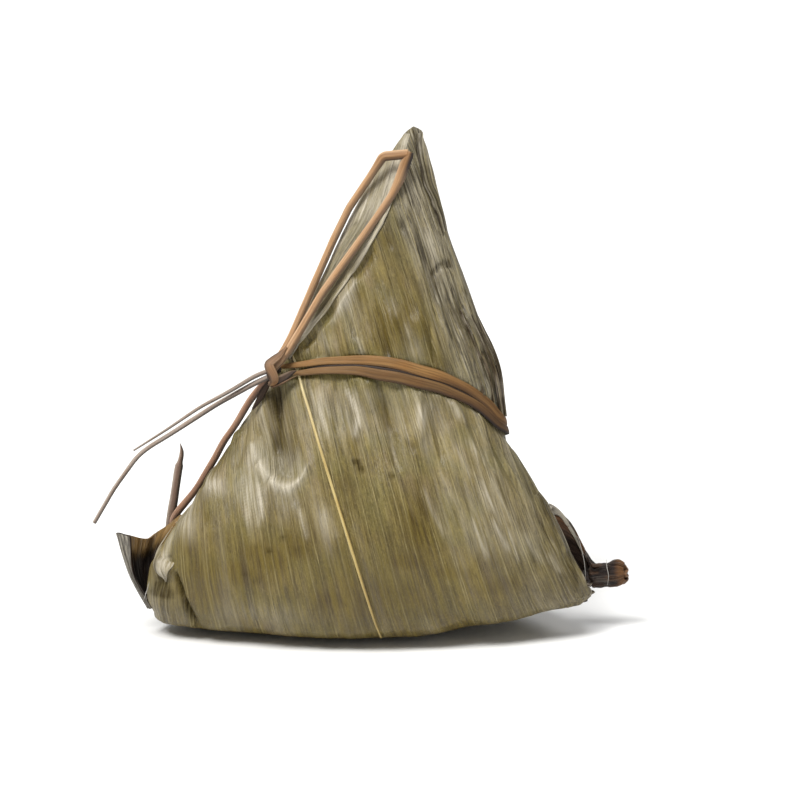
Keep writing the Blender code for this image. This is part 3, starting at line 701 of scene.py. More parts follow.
splitsAndCreaseShade = [  # dark lines in the same way: splits in the leaf, and painted shade along creases and valleys
    (-17.5, 47.3, -16.2, 41.4, 0.95, 1.2), (-16.4, 42, -16.8, 36.6, 0.8, 0.5),
    (-18.6, 46.4, -17.9, 43, 0.6, 0.5), (-12.8, 53.7, -11.5, 51.8, 0.5, 0.7),
    (2, 49.4, 3.1, 47.2, 0.3, 0.7), (3.1, 47.2, 4.7, 39, 0.3, 0.44), (3.5, 74.6, 4.6, 75.9, 0.3, 0.59),
    (5.9, 77.1, 6.8, 75.5, 0.3, 0.7), (12.1, 67.3, 13.6, 69.2, 0.3, 1.08),
    (13.6, 69.2, 15.8, 69.8, 0.3, 1.3), (15.8, 69.8, 16.4, 68.4, 0.3, 0.85),
    (18.7, 65, 19.7, 63.3, 0.4, 0.9), (1.9, 31.3, 2.5, 28.9, 0.3, 0.66),
    (10.6, 86.1, 11.2, 82.9, 0.35, 1.2), (11.2, 82.9, 12.3, 80.4, 0.4, 1.3),
    (12.3, 80.4, 13.5, 77.5, 0.4, 1.3), (13.5, 77.5, 14.1, 75.7, 0.3, 1),
    (22.4, 54.6, 23.6, 51, 0.5, 0.8), (23.6, 51, 24.6, 45.6, 0.6, 0.8), (9.9, 92, 9.6, 90.4, 0.5, 1.2),
    (9.6, 90.4, 9.7, 88.2, 0.3, 1.1), (-36, 13.6, -34.2, 9.2, 0.5, 1.9), (-34.2, 9.2, -32, 4.4, 0.6, 1.9),
    (-41.4, 10.9, -38.2, 10.3, 0.9, 0.9), (-38.4, 10.6, -38.6, 9.2, 0.5, 0.6),
    (-40.6, 15, -39.7, 12, 0.35, 0.7), (-40.9, 12.6, -38.4, 11, 0.4, 0.7),
    (-38, 12.2, -36.4, 14.8, 0.3, 0.61), (8.4, 38.6, 9, 36.8, 0.3, 0.7), (26.6, 37, 30.5, 29, 0.35, 0.5),
    (28, 36, 32.6, 27, 0.3, 0.5), (32, 26, 37.5, 17, 0.3, 0.5), (35, 23, 39.6, 14, 0.3, 0.5),
    (38, 14.5, 40.6, 8, 0.3, 0.7), (39.4, 12.5, 41.6, 6, 0.3, 0.61), (36.6, 12.5, 39.2, 5, 0.3, 0.6),
    (34, 13, 36.4, 7, 0.3, 0.35), (13, 66, 15.4, 57.5, 0.3, 0.55), (14.8, 64, 17.4, 54, 0.3, 0.61),
    (11.4, 72, 13.6, 64.6, 0.3, 0.44), (16.4, 63, 18.8, 55.5, 0.3, 0.59), (12.2, 62, 14, 55, 0.3, 0.37),
    (18.6, 61, 21, 53, 0.3, 0.7), (9.6, 75, 11.4, 68.5, 0.3, 0.37), (15.4, 57, 17, 51, 0.3, 0.44),
    (10.4, 60, 12.2, 53.5, 0.3, 0.3), (8.2, 83, 9.8, 77, 0.3, 0.37), (14.2, 70.5, 16, 65, 0.3, 0.55),
]
foldLine = [  # where the upper left fold ends: height and place across
    (50, -15.6), (54.7, -12.6), (59.6, -8.5), (65.5, -3.7), (73.6, 1.7), (76.3, 3.4), (79.4, 4.8),
    (83.3, 6.1), (86, 6.9), (88.5, 7.4), (93.5, 8.6),
]


def veinPlace(across, height):  # which vein runs through a point: the fan unrolled to the middle height
    drop = veins["middleHeight"] - height
    return (across - drop * veins["lean"]) / (1 + drop * veins["fan"])


def tieHeight(name, degrees):  # the height of a turn of the tie in a direction, by its table
    degrees = np.asarray(degrees, float)
    return byTable(waistTie[name], np.where(degrees < -160, degrees + 360, degrees))


def alongLines(lines, across, height):  # each is a sharp-backed ridge (or mark), tapered at both ends
    total = np.zeros(np.broadcast(across, height).shape)
    for x0, h0, x1, h1, width, rise in lines:
        run = np.array([x1 - x0, h1 - h0])
        share = np.clip(((across - x0) * run[0] + (height - h0) * run[1]) / (run @ run), 0, 1)
        away = np.hypot(across - x0 - share * run[0], height - h0 - share * run[1])
        taper = np.clip(4 * share * (1 - share), 0, 1) ** 0.35
        total += rise * np.exp(-((away / width) ** 1.25)) * np.where((share > 0) & (share < 1), taper, 0.25)
    return total


def patches(spots, across, height):  # soft spots, stretched along the veins; the strongest one counts
    total = np.zeros(np.broadcast(across, height).shape)
    for x0, h0, wide, tall, strength in spots:
        slide = veinPlace(across, height) - veinPlace(np.array(x0), np.array(h0))
        total = np.maximum(total, strength * np.exp(-((slide / wide) ** 2) - ((height - h0) / tall) ** 2))
    return total


creases = dict(  # heights of the relief's soft parts, and how far the tie's pull reaches
    broad=0.3, fine=0.16, total=1.45, press=0.5, pressReach=1.3, gatherFrom=2.5, gatherReach=5.5,
    underFold=0.75,
)


def leafRelief(degrees, across, height):
    # Veins + flat-sided crinkles + folds + hollows + broad undulation, and what the tie presses
    vein = veinPlace(across, height)
    rough = 1 - 0.35 * softStep(12, 22, across) * softStep(46, 54, height)
    total = 0
    for k, (spacing, rise) in enumerate((veins["major"], veins["minor"], veins["bundle"])):
        wave = softNoise(vein / spacing + 40, height / (spacing * 22) + 9, veins["seed"] + k, True)
        total = total + rough * rise * wave
    total = total + alongLines(folds, across, height)
    for x0, h0, wide, tall, rise in hollows:
        total = total + rise * np.exp(-(((across - x0) / wide) ** 2) - ((height - h0) / tall) ** 2)
    total = total + creases["broad"] * softNoise(vein / 7 + 5, height / 13 + 3, 31)
    total = total + creases["fine"] * softNoise(vein / 3 + 2, height / 6, 37, True)
    seam = softStep(0, 9, np.minimum(abs(degrees - 90), abs(degrees + 270)))
    total = total * seam
    nearest = 99.0
    for name in ("upper", "lower"):
        away = height - tieHeight(name, degrees)
        held = 1 if name == "upper" else 1 - bell((degrees + 160) / 5)
        total = total - creases["press"] * waistTie["press"] * held * bell(away / creases["pressReach"])
        nearest = np.minimum(nearest, abs(away) + 8 * (1 - held))
    gather = softNoise(vein / 2.3 + 17, height / 30, 43, True)
    gather = gather * (1 - 0.5 * softStep(60, 90, abs(degrees + 90)))
    gather = gather * seam * (1 - 0.7 * softStep(21, 26, across) * softStep(45, 41, height))
    reach = bell((nearest - creases["gatherFrom"]) / creases["gatherReach"]) * softStep(0.2, 1.6, nearest)
    total = (total + waistTie["swell"] * gather * reach) * creases["total"]
    underFold = softStep(0.5, -1.5, across - byTable(foldLine, height)) * softStep(50, 56, height)
    total = total * (1 - creases["underFold"] * underFold)
    return total * softStep(0.3, 3.5, height) * (1 - softStep(90.5, 93.3, height))


paleZones = dict(  # pale with bloom and painted highlight: what each edge measures, where it starts and is full
    right=[("ragged", 15, 21), ("height", 42, 37), ("slide", -12, -6), ("slide", 9, 6)],
    left=[("ragged", 22, 28), ("height", 39, 35), ("across", -28, -24), ("across", -8, -13)],
    under=[("ragged", 36, 41), ("height", 49, 46.5), ("across", 20, 12)],
    tip=[("height", 86, 89), ("height", 92, 90.2), ("across", 10, 8)],
    slideFrom=(24, 27), streaks=(0.05, 0.5),
)
greyFrom = [(0, 40), (30, 30), (48, 20), (60, 12), (75, 6), (94, 0)]  # height, and where it turns grey


def leafMarks(across, height, relief):
    # Stain, bloom with painted highlights, dirt with painted shade, and greyness: the spots and lines of
    # the tables, soft noise, painted shade in the grooves of the relief, and pale streaked zones of bloom
    # and painted highlight at the lower right, at the left, under the tie and at the tip
    stain, bloom, dirt = (patches(marks[name], across, height) for name in ("stain", "bloom", "dirt"))
    vein = veinPlace(across, height)
    stain = stain + 0.25 * hills(vein / 5 + 3, height / 14 + 1, 51)
    bloom = bloom + 0.2 * np.clip(softNoise(vein / 2.2 + 8, height / 20 + 4, 53) - 0.2, 0, 1)
    # darker and more olive towards the foot
    foot = softStep(33, 20, height + 2.5 * softNoise(vein / 2.4, height / 20, 55))
    stain = stain + 0.36 * foot * softStep(-42, -33, across)
    ragged = height + 3.4 * softNoise(vein / 0.8, 0.5, 59)
    measures = dict(
        ragged=ragged, height=height, across=across, slide=vein - veinPlace(*paleZones["slideFrom"]))
    right, left, under, tip = (
        np.prod([softStep(low, high, measures[key]) for key, low, high in paleZones[zone]], axis=0)
        for zone in ("right", "left", "under", "tip")
    )
    streaky = softStep(*paleZones["streaks"], softNoise(vein / 0.62 + 2, height / 7, 60))
    stain = stain * (1 - 0.6 * np.clip(right + left, 0, 1))
    bloom = bloom + (0.2 + 0.2 * streaky) * (0.5 * right + 0.6 * left + 0.95 * under)
    bloom = bloom + 0.95 * alongLines(glints, across, height) + (0.15 + 0.4 * streaky) * tip
    # darker at the very top, and painted shade where the relief dips into a groove
    dirt = dirt + 0.3 * softStep(90.2, 92, height) + 0.35 * softStep(0.9, 2, -relief)
    dirt = dirt + alongLines(splitsAndCreaseShade, across, height)
    edge = across - byTable(greyFrom, height) + 2.5 * softNoise(vein / 2 + 4, height / 16, 57)
    grey = softStep(-4, 4, edge) * softStep(28, 46, height)
    grey = np.maximum(grey, softStep(82, 90, height))
    grey = np.maximum(grey, 0.45 * softStep(22, 34, across))
    grey = np.maximum(grey, 0.35 * softStep(-31, -36, across) * softStep(13, 9, height))
    return toned(stain, bloom, dirt, grey)


def onLeaf(degrees, height, lift):  # a place standing off the creased leaf
    relief = leafRelief(degrees, acrossAt(degrees, height), height)
    return parcelAt(degrees, height) + (relief + lift)[..., None] * facingAt(degrees, height)


skin = dict(
    frontColumns=380, backColumns=90, rows=205, spotRows=5, frontFrom=-170.0, frontTo=-8.0, topGap=0.06,
    spacedAt=14.0, fineTurns=900, fineHeights=1500, floorGap=0.02, spotFrom=0.12,
)


def evenAlong(points, values, count, whole):  # so many of the values, evenly spaced along their points
    along = lengthAlong(points)
    return np.interp(np.linspace(0, along[-1], count, endpoint=whole), along, values)


def spacedTurns(count, first, last):  # directions evenly spaced along the section near its widest
    fine = np.linspace(first, last, skin["fineTurns"])
    return evenAlong(parcelAt(fine, skin["spacedAt"]), fine, count, False)


def spacedHeights(count, low, high):  # heights evenly spaced along the front's profile
    fine = np.linspace(low, high, skin["fineHeights"])
    return evenAlong(parcelAt(-90.0, fine), fine, count, True)


def makeSkin():
    # The leaf over the whole parcel, closed: rings of directions at each height, pushed out by the relief
    directions = np.concatenate([
        spacedTurns(skin["frontColumns"], skin["frontFrom"], skin["frontTo"]),
        spacedTurns(skin["backColumns"], skin["frontTo"], skin["frontFrom"] + 360),
    ])
    directions = np.sort(np.where(directions > 90, directions - 360, directions))
    heights = spacedHeights(skin["rows"], 0, parcel["height"] - skin["topGap"])
    degrees, height = np.meshgrid(directions, heights)
    base = parcelAt(degrees, height)
    across = acrossAt(degrees, height)
    relief = leafRelief(degrees, across, height)
    points = base + relief[..., None] * facingAt(degrees, height)
    points[..., 2] = np.maximum(points[..., 2], skin["floorGap"])
    spotShare = np.linspace(skin["spotFrom"], 1, skin["spotRows"], endpoint=False)[:, None, None]
    points = np.concatenate([points[:1] * spotShare, points])  # the flat spot below, drawn in to its middle
    rise = lengthAlong(base[:, 0])
    uv = np.stack([veinPlace(across, height), np.broadcast_to(rise[:, None], across.shape)], -1)
    uv, tone = (
        np.concatenate([np.repeat(grid[:1], skin["spotRows"], axis=0), grid])
        for grid in (uv, leafMarks(across, height, relief))
    )
    uv = np.concatenate([uv, 2 * uv[:, -1:] - uv[:, -2:-1]], axis=1)
    made = buildMesh(
        "parcelSkin", [dict(points=points, uv=uv, tone=tone, around=True, caps=True)],
        [leafFinish("leafSkin", leafColours)],
    )
    place(made, "leaf", "leaf_parcel")
    print("parcel skin:", points.shape[0] * points.shape[1] * 2, "triangles")


def bandProfile(bulge, count):  # a flat strip with rounded edges, bulging outwards: width 1, height 1
    turn = np.linspace(0, 2 * np.pi, count, endpoint=False)
    x = 0.5 * np.sign(np.cos(turn)) * abs(np.cos(turn)) ** 0.7
    y = 0.5 * np.sign(np.sin(turn)) * abs(np.sin(turn)) ** 0.6
    return np.stack([x, y + bulge * (0.25 - x * x) * 4], -1)


def tentProfile(count):  # a strip folded lengthwise into a blunt ridge: width 1, height 1
    turn = np.linspace(0, 2 * np.pi, count, endpoint=False)
    x = 0.5 * np.cos(turn)
    upper = 0.75 * (1 - abs(x) * 2) ** 0.8
    lower = 0.25 * (1 - abs(x) * 2) - 0.25
    return np.stack([x, np.where(np.sin(turn) >= 0, upper, lower)], -1)


def carried(path, facing, profile, widths, heights, tone, twist=0.0):
    # A profile carried along a path: each point is path + side * across * width + facing * up * height
    along = unit(np.gradient(path, axis=0))
    side = unit(np.cross(along, np.broadcast_to(facing, path.shape)))
    out = unit(np.cross(side, along))
    turn = np.radians(np.broadcast_to(twist, len(path)))[:, None]
    side, out = side * np.cos(turn) + out * np.sin(turn), out * np.cos(turn) - side * np.sin(turn)
    widths, heights = np.broadcast_to(widths, len(path)), np.broadcast_to(heights, len(path))
    points = (
        path[:, None]
        + side[:, None] * (widths[:, None] * profile[None, :, 0])[..., None]
        + out[:, None] * (heights[:, None] * profile[None, :, 1])[..., None]
    )
    girth = lengthAlong(np.vstack([profile, profile[:1]]))
    uv = np.stack(np.meshgrid(girth * widths.mean(), lengthAlong(path)), -1)
    tone = np.broadcast_to(tone, (len(path), len(profile), 4))
    return dict(points=points, uv=uv, tone=tone, around=True, caps=True)


def woundPath(keys, standOff, step):  # keys of (direction, height, lift, ...) followed over the leaf
    keys = np.array(keys, float)
    route = evenPath(np.column_stack([parcelAt(keys[:, 0], keys[:, 1]), keys]), step)
    degrees, height, lift = route[:, 3], route[:, 4], route[:, 5]
    facing = facingAt(degrees, height)
    return parcelAt(degrees, height) + (standOff + lift)[:, None] * facing, facing, route[:, 6:]


def litTone(length, columns, lit, dark=0.0, bloom=0.0, contrast=1.0, step=0.3):
    # The lit edge of the strip painted pale as a patchy highlight, the other edge painted dark as shade:
    # soft steps of the cosine round its profile
    turn = np.linspace(0, 2 * np.pi, columns, endpoint=False)[None, :] + np.zeros((length, 1))
    edge = np.cos(turn) * lit
    seen = softStep(-0.4, 0.2, np.sin(turn))
    rise = np.linspace(0, length * step, length)[:, None]
    patchiness = 0.75 + 0.25 * softNoise(rise / 2.5, edge * 0.5, 74)
    dark, bloom = (np.broadcast_to(value, length)[:, None] for value in (dark, bloom))
    # painted shade on the unlit edge
    dark = dark + 0.8 * contrast * softStep(0.15, 0.75, -edge)
    # painted highlight on the lit edge, where it is seen, broken into patches
    bloom = bloom + 0.6 * contrast * softStep(0.35, 0.9, edge) * seen * patchiness
    return toned(dark, bloom, 0, 1)


turns = dict(  # direction, height, lift, width
    upper=[(-162, 50.1, 1.0, 0.6), (-157, 50.4, 0.8, 0.9), (-151, 51.1, 0.4, 1.15),
        (-140, 52.1, 0.1, 1.4), (-129, 52.5, 0, 1.5), (-114, 52.75, 0, 1.7), (-98, 52.6, 0, 1.9),
        (-81, 52.05, 0, 1.95), (-65, 51.0, 0, 1.95), (-51, 49.85, 0, 1.95), (-42, 48.6, 0, 1.75),
        (-35, 47.2, 0, 1.65), (-30, 45.6, 0, 1.65), (-26, 43.9, 0, 1.7), (-22.5, 41.7, 0, 1.7),
        (-18, 40.4, -0.05, 1.6), (-10, 39.8, 0, 1.6), (15, 40.5, 0, 1.5), (45, 42, 0, 1.6),
        (90, 46, 0, 1.7), (135, 49, 0, 1.6), (165, 50, 0, 1.5), (182, 50, 0, 1.3), (193, 50, 0.1, 1.1),
        (201, 50, 0.6, 0.9)],
    lower=[(-155, 48.6, 0.3, 0.3), (-151, 49.5, 0.25, 0.6), (-147, 49.9, 0.15, 1.1),
        (-138, 50.5, 0.1, 1.35), (-126, 50.8, 0.05, 1.5), (-112, 50.8, 0, 1.7), (-96, 50.2, 0, 2.0),
        (-80, 49.65, 0, 2.05), (-64.5, 48.7, 0, 2.05), (-51, 47.65, 0, 1.95), (-42, 46.4, 0, 1.8),
        (-35, 45.05, 0, 1.7), (-30.5, 43.7, 0, 1.7), (-27, 42.1, 0, 1.7), (-23, 40.1, 0, 1.75),
        (-19, 39, -0.08, 1.6), (-14, 38.2, 0, 1.6), (-6, 36.6, 0, 1.5), (10, 33.8, 0, 1.5),
        (30, 31, 0, 1.5), (60, 28.5, 0, 1.5), (90, 27.5, 0, 1.5), (120, 26, 0, 1.5), (150, 24.5, 0, 1.5),
        (178, 23, 0, 1.4), (190, 22.4, 0.2, 1.3)],
    side=[(-36.3, -4.2, 16.5), (-36.5, -6.5, 19.2), (-35.5, -8.2, 21.5), (-31.7, -9.4, 26.4),
        (-27.7, -10.4, 33.3), (-26.5, -10.9, 35.9), (-24.1, -11.6, 39.4), (-21.5, -12.6, 44.1),
        (-18.8, -14.2, 48), (-17.6, -14.8, 49.6)],
    sideWidth=1.35, thickness=0.36, standOff=0.36,
    step=0.4, columns=28, bulge=0.12, wobble=7, lowerDark=0.34, rightShade=0.34, leftLit=0.14, patchiness=0.12,
    colours=palette(
        grassColours, ground=(106, 73, 34), pale=(139, 103, 58), warm=(128, 86, 40), bloom=(174, 138, 90)),
    sideColours=palette(
        grassColours, ground=(130, 94, 72), pale=(170, 132, 106), warm=(146, 102, 74),
        bloom=(202, 166, 140)),
)


def makeTurns():
    # Two strips of grass round the waist: a bulging band profile carried along a path over the leaf
    finishes = [
        grassFinish("grassBand", turns["colours"], 0.3),
        grassFinish("grassSide", turns["sideColours"], 0.35),
    ]
    columns = turns["columns"]
    for name, node, seed in (("upper", "waist_turn_upper", 61), ("lower", "waist_turn_lower", 64)):
        lower = name == "lower"
        path, facing, rest = woundPath(turns[name], turns["standOff"], turns["step"])  # the rest: width
        rise = np.arange(len(path)) * turns["step"]
        width = rest[:, 0] * (1 + 0.07 * softNoise(rise / 5, 0.5, seed))
        wobble = turns["wobble"] * softNoise(rise / 6, 2.5, seed + 1)
        dark = turns["lowerDark"] * lower + 0.2 * softNoise(rise / 7, 4.5, seed + 2)
        # painted shade towards the right
        dark = dark + turns["rightShade"] * softStep(8, 24, path[:, 0])
        # random worn pale patches on the upper turn
        bloom = turns["patchiness"] * hills(rise / 4, 7.5, seed + 2) * (not lower)
        # painted light: paler towards the left
        bloom = bloom + turns["leftLit"] * softStep(4, -8, path[:, 0])
        tone = litTone(len(path), columns, -1, dark, bloom, 0.4)
        band = bandProfile(turns["bulge"], columns)
        parts = [carried(path, facing, band, width, turns["thickness"], tone, wobble)]
        if lower:  # a strip of painted shadow between the turns, and the end that climbs back to the knot
            middle = [
                (a, (tieHeight("upper", a) + tieHeight("lower", a)) / 2 - 0.1, -0.12, 0.9)
                for a in range(-146, -22, 6)
            ]
            path, facing, rest = woundPath(middle, turns["standOff"], turns["step"])
            parts.append(carried(path, facing, bandProfile(0.1, 12), rest[:, 0], 0.3, (0.95, 0, 0, 1)))
            side = kinkedPath(turns["side"], 5)
            share = shares(len(side))
            width = turns["sideWidth"] * (1 + 0.08 * softNoise(share * 9, 0.5, 66))
            width = width * (1 - 0.25 * softStep(0.85, 1, share))
            tone = litTone(len(side), 24, -1, 0.12, 0.05)
            twist = 10 * softNoise(share * 7, 1.5, 68)
            strip = carried(side, (-0.5, -1, 0.1), tentProfile(24), width, 0.6, tone, twist)
            parts.append(dict(strip, slot=1))
        place(buildMesh(name + "Turn", parts, finishes), "grass", node)
    print("waist turns")


strands = dict(  # x, y, z along each strip of grass
    outer=[(-17, -15.2, 51.2), (-14.9, -14.0, 54.2), (-13.6, -12.2, 56.3), (-10.1, -8.8, 64),
        (-5.9, -6.2, 73.3), (-3.0, -5, 79.1), (1.0, -4.2, 85), (3.3, -4.5, 88.7), (8.0, -5.5, 89.3)],
    inner=[(8.3, -5.4, 89.7), (7.9, -5.5, 88.9), (6.2, -5.6, 84.2), (5.0, -5.9, 81.8), (2.8, -6.7, 78.6),
        (-1.4, -8.7, 73.0), (-7.8, -10.8, 64.4), (-12.3, -12.8, 57), (-14.2, -14.4, 54.0),
        (-16.8, -15.5, 51)],
    shortEnd=[(-17.4, -15.2, 50.7), (-19.9, -15.0, 49.8), (-24.8, -16, 47), (-30.3, -17.5, 44.3),
        (-36.4, -19, 40.4), (-42.4, -20.3, 36.8)],
    longEnd=[(-17.4, -15.2, 49.6), (-20.1, -14.9, 48.3), (-27.1, -15.5, 44.5), (-35.8, -17, 39.1),
        (-40, -17.5, 36.6), (-42.0, -17.5, 34.9), (-43.2, -17.4, 33.2), (-46.3, -17, 28.8),
        (-50.2, -16, 21.9)],
    tucked=[(-37.4, -5.6, 13), (-36.5, -5.8, 20.7), (-35.9, -6, 24.3), (-35.1, -6.2, 29.4),
        (-34.4, -6.5, 32.7), (-34.6, -6.6, 34.7)],
    tail=[(-17.6, -14.6, 48.6), (-18.7, -14.2, 46.6), (-19.4, -14.4, 45.2), (-20.7, -14.6, 43.1)],
    loopWidth=1.45, loopHeight=0.8,
    loopColours=palette(
        grassColours, ground=(136, 99, 62), pale=(176, 137, 98), warm=(158, 112, 64), deep=(92, 62, 38),
        bloom=(216, 182, 146)),
    tuckedColours=palette(dryGrassColours, ground=(118, 88, 72), pale=(142, 116, 98)),
    tuckedWidth=1.85, tuckedTaper=[(0, 1), (0.8, 0.86), (0.83, 0.58), (0.93, 0.45), (1, 0.06)],
    tailColours=palette(grassColours, dark=(20, 14, 14), ground=(74, 50, 40)), tailWidth=1.25,
)


def makeLoop():
    # Two stiff strips from the knot to the tip, bent sharply there: a folded profile carried along each
    parts = []
    for name, lit in (("outer", -1), ("inner", 1)):
        path = kinkedPath(strands[name], 2)
        share = shares(len(path))
        width = strands["loopWidth"] * (1 + 0.07 * softNoise(share * 16, 1.5, 71))
        if name == "inner":
            width = width * (1 + 0.35 * softStep(0.2, 0.06, share) * softStep(0, 0.02, share))
            top, dark = softStep(0.12, 0.04, share), 0.25
        else:
            width = width * (1 + 0.22 * softStep(0.84, 0.9, share))
            top, dark = softStep(0.82, 0.9, share), 0.0
        parts.append(carried(
            path, (-0.35, -1, 0.1), tentProfile(24), width, strands["loopHeight"],
            litTone(len(path), 24, lit, dark * top, 0.12 * (1 - top)), 9 * softNoise(share * 9, 0.3, 73)))
    finish = grassFinish("grassLoop", strands["loopColours"])
    place(buildMesh("hangingLoop", parts, [finish]), "grass", "hanging_loop")
    print("hanging loop")


def makeLooseEnds():
    # Thin dry strips running out to the left, the broken end tucked behind, and the dark tail under the
    # knot: a folded or bulging profile carried along each, its width falling along it
    dry = grassFinish("grassDry", dryGrassColours)
    ends = (("shortEnd", "loose_end_short", 0.9, 0.35), ("longEnd", "loose_end_long", 1.0, 0.75))
    for name, node, wide, narrow in ends:
        path = kinkedPath(strands[name], 5)
        share = shares(len(path))
        width = wide + (narrow - wide) * share ** 1.3
        tone = litTone(len(path), 20, 1, 0.1, 0.1)
        twist = 12 * softNoise(share * 8, 0.5, 79)
        part = carried(path, (0.1, -1, 0.5), tentProfile(20), width, 0.6 * width, tone, twist)
        place(buildMesh(name, [part], [dry]), "grass_dry", node)
    path = evenPath(strands["tucked"], 0.3)
    share = shares(len(path))
    width = strands["tuckedWidth"] * byTable(strands["tuckedTaper"], share)
    width = width * (1 + 0.08 * softNoise(share * 7, 0.5, 83))
    tone = litTone(len(path), 20, -1, 0.2 + 0.3 * softStep(0.6, 0, share), 0.05)
    part = carried(path, (0, -1, 0.1), tentProfile(20), width, 0.5, tone)
    finish = grassFinish("grassTucked", strands["tuckedColours"])
    place(buildMesh("tuckedEnd", [part], [finish]), "grass", "tucked_end")
    path = evenPath(strands["tail"], 0.25)
    width = strands["tailWidth"] * np.sin(np.pi * (0.2 + 0.8 * shares(len(path))).clip(0, 1)) ** 0.8 + 0.05
    part = carried(path, (-0.2, -1, 0.1), bandProfile(0.4, 16), width, 0.45, (0.88, 0, 0, 1))
    finish = grassFinish("grassTail", strands["tailColours"], 0.2)
    place(buildMesh("knotTail", [part], [finish]), "leaf_inside", "knot_tail")
    print("loose ends")


knot = dict(  # x, y, z along each strip, and the ball of crossed fibres within
    wrap=[(-14.4, -14.5, 54.9), (-15.7, -15.4, 53.6), (-17.0, -16.1, 52.7), (-17.6, -16.5, 52.1),
        (-17.35, -16.9, 51.3), (-16.8, -17.0, 50.3), (-16.6, -16.8, 49.2), (-17.0, -16.0, 48.3),
        (-17.3, -14.8, 48.0)],
    second=[(-17.4, -13.6, 51.6), (-17.9, -14.8, 51.2), (-17.7, -15.4, 49.9), (-17.3, -15.4, 48.8),
        (-16.9, -14.6, 48.2)],
    twist=[(-17.4, -15.4, 48.0), (-16.2, -15.8, 48.7), (-15.0, -15.8, 49.4), (-13.8, -15.5, 50.1),
        (-12.7, -15, 50.6)],
    strand=[(-14.6, -14.4, 54.2), (-15.7, -15.1, 52.9), (-16.7, -15.4, 51.8), (-17.2, -15.0, 50.6)],
    thread=[(-17.1, -15.9, 47.7), (-15.8, -16.2, 48.2), (-14.6, -16.1, 48.8), (-13.4, -15.8, 49.4),
        (-12.4, -15.4, 49.8)],
    centre=(-17.0, -14.4, 50.5), size=(1.1, 1.0, 2.3), beside=(-16.0, -13.4, 50.4),
    besideSize=(0.6, 0.5, 0.7),
    colours=palette(grassColours, ground=(122, 88, 58), pale=(154, 118, 84), warm=(136, 96, 60)),
    strips=(  # path, width, thickness, darkness, paleness, twist over its length, towards
        ("second", 0.8, 0.5, 0.6, 0.0, 20, (-0.3, -1, 0)),
        ("twist", 1.8, 0.6, 0.8, 0.0, 30, (0.1, -1, -0.2)),
        ("strand", 1.9, 0.8, 0.36, 0.03, 0, (-0.3, -1, 0.1)),
        ("thread", 0.36, 0.3, 0.45, 0.0, 0, (0, -1, 0)),
        ("wrap", 1.7, 0.45, 0.2, 0.03, 10, None),
    ),
)


def makeKnot():
    # Strips carried round the crossing: an outer wrap, a second turn, the twisted dark strip beside
    # them, a thin worn thread, and a dark ball of crossed fibres inside, where a point is centre + size
    # * (sin v cos u, sin v sin u, -cos v)
    parts = []
    for seed, (name, width, thickness, dark, bloom, turned, towards) in enumerate(knot["strips"]):
        path = evenPath(knot[name], 0.2)
        share = shares(len(path))
        facing = unit(path - np.array(knot["centre"])) if towards is None else towards
        thinning = 0.6 * share ** 2 if name in ("twist", "thread") else 0
        widths = width * (0.75 + 0.25 * np.sin(np.pi * share) - thinning)
        widths = widths * (1 + 0.06 * softNoise(share * 6, 0.5, 75 + seed))
        if name in ("strand", "wrap"):  # they start within the loop's strips
            widths = widths * (0.35 + 0.65 * softStep(0, 0.3, share))
        tone = litTone(len(path), 20, -1, dark + 0.25 * softNoise(share * 5, 2.5, 76 + seed), bloom, 0.55)
        parts.append(carried(path, facing, bandProfile(0.18, 20), widths, thickness, tone, turned * share))
    u, v = np.meshgrid(np.linspace(0, 2 * np.pi, 24, endpoint=False), np.linspace(0.15, np.pi - 0.15, 16))
    ball = np.stack([np.sin(v) * np.cos(u), np.sin(v) * np.sin(u), -np.cos(v)], -1)
    dark = np.broadcast_to([0.95, 0.0, 0.0, 1.0], (*u.shape, 4))
    for size, centre in ((knot["size"], knot["centre"]), (knot["besideSize"], knot["beside"])):
        parts.append(dict(points=ball * size + centre, tone=dark, around=True, caps=True))
    place(buildMesh("knotWrap", parts, [grassFinish("grassKnot", knot["colours"])]), "grass", "knot")
    print("knot")


midrib = dict(  # places across at three heights; the curve through them runs from top to foot
    heights=(53.3, 23.8, 2.9), across=(-14.1, -3.5, 2.85), top=54.6, foot=2.4,
    width=0.6, height=0.4, lift=0.12,
    colours=palette(
        grassColours, ground=(174, 150, 88), pale=(198, 180, 122), deep=(116, 92, 44), warm=(168, 138, 70),
        dark=(66, 48, 24), bloom=(222, 206, 160)),
)


def makeMidrib():
    # A half-round rib: a band profile carried along the leaf, thickest at the middle of its length
    height = np.linspace(midrib["top"], midrib["foot"], 200)
    curve = np.polyfit(midrib["heights"], midrib["across"], 2)
    degrees = directionAt(np.polyval(curve, height), height)
    path = evened(onLeaf(degrees, height, midrib["lift"]), 9)
    share = shares(len(path))
    width = midrib["width"] * (0.75 + 0.35 * np.sin(np.pi * share)) * softStep(0, 0.03, share)
    tone = litTone(len(path), 16, 1, 0.0, 0.7 * softStep(0.35, 0.1, share), 0.8)
    part = carried(path, facingAt(degrees, height), bandProfile(0.5, 16), width, midrib["height"], tone)
    finish = grassFinish("ribStraw", midrib["colours"], 0.5, (0.35, 0.5))
    place(buildMesh("midrib", [part], [finish]), "leaf")
    print("midrib")


def marksAt(degrees, across, height):  # the leaf's own four marks, one by one
    return np.moveaxis(leafMarks(across, height, leafRelief(degrees, across, height)), -1, 0)


def sheetOver(piece, low, high):  # a net over the leaf: the share of the way across it, and the height
    share, down = np.meshgrid(shares(piece["columns"]), shares(piece["rows"]))
    return share, low + (high - low) * down


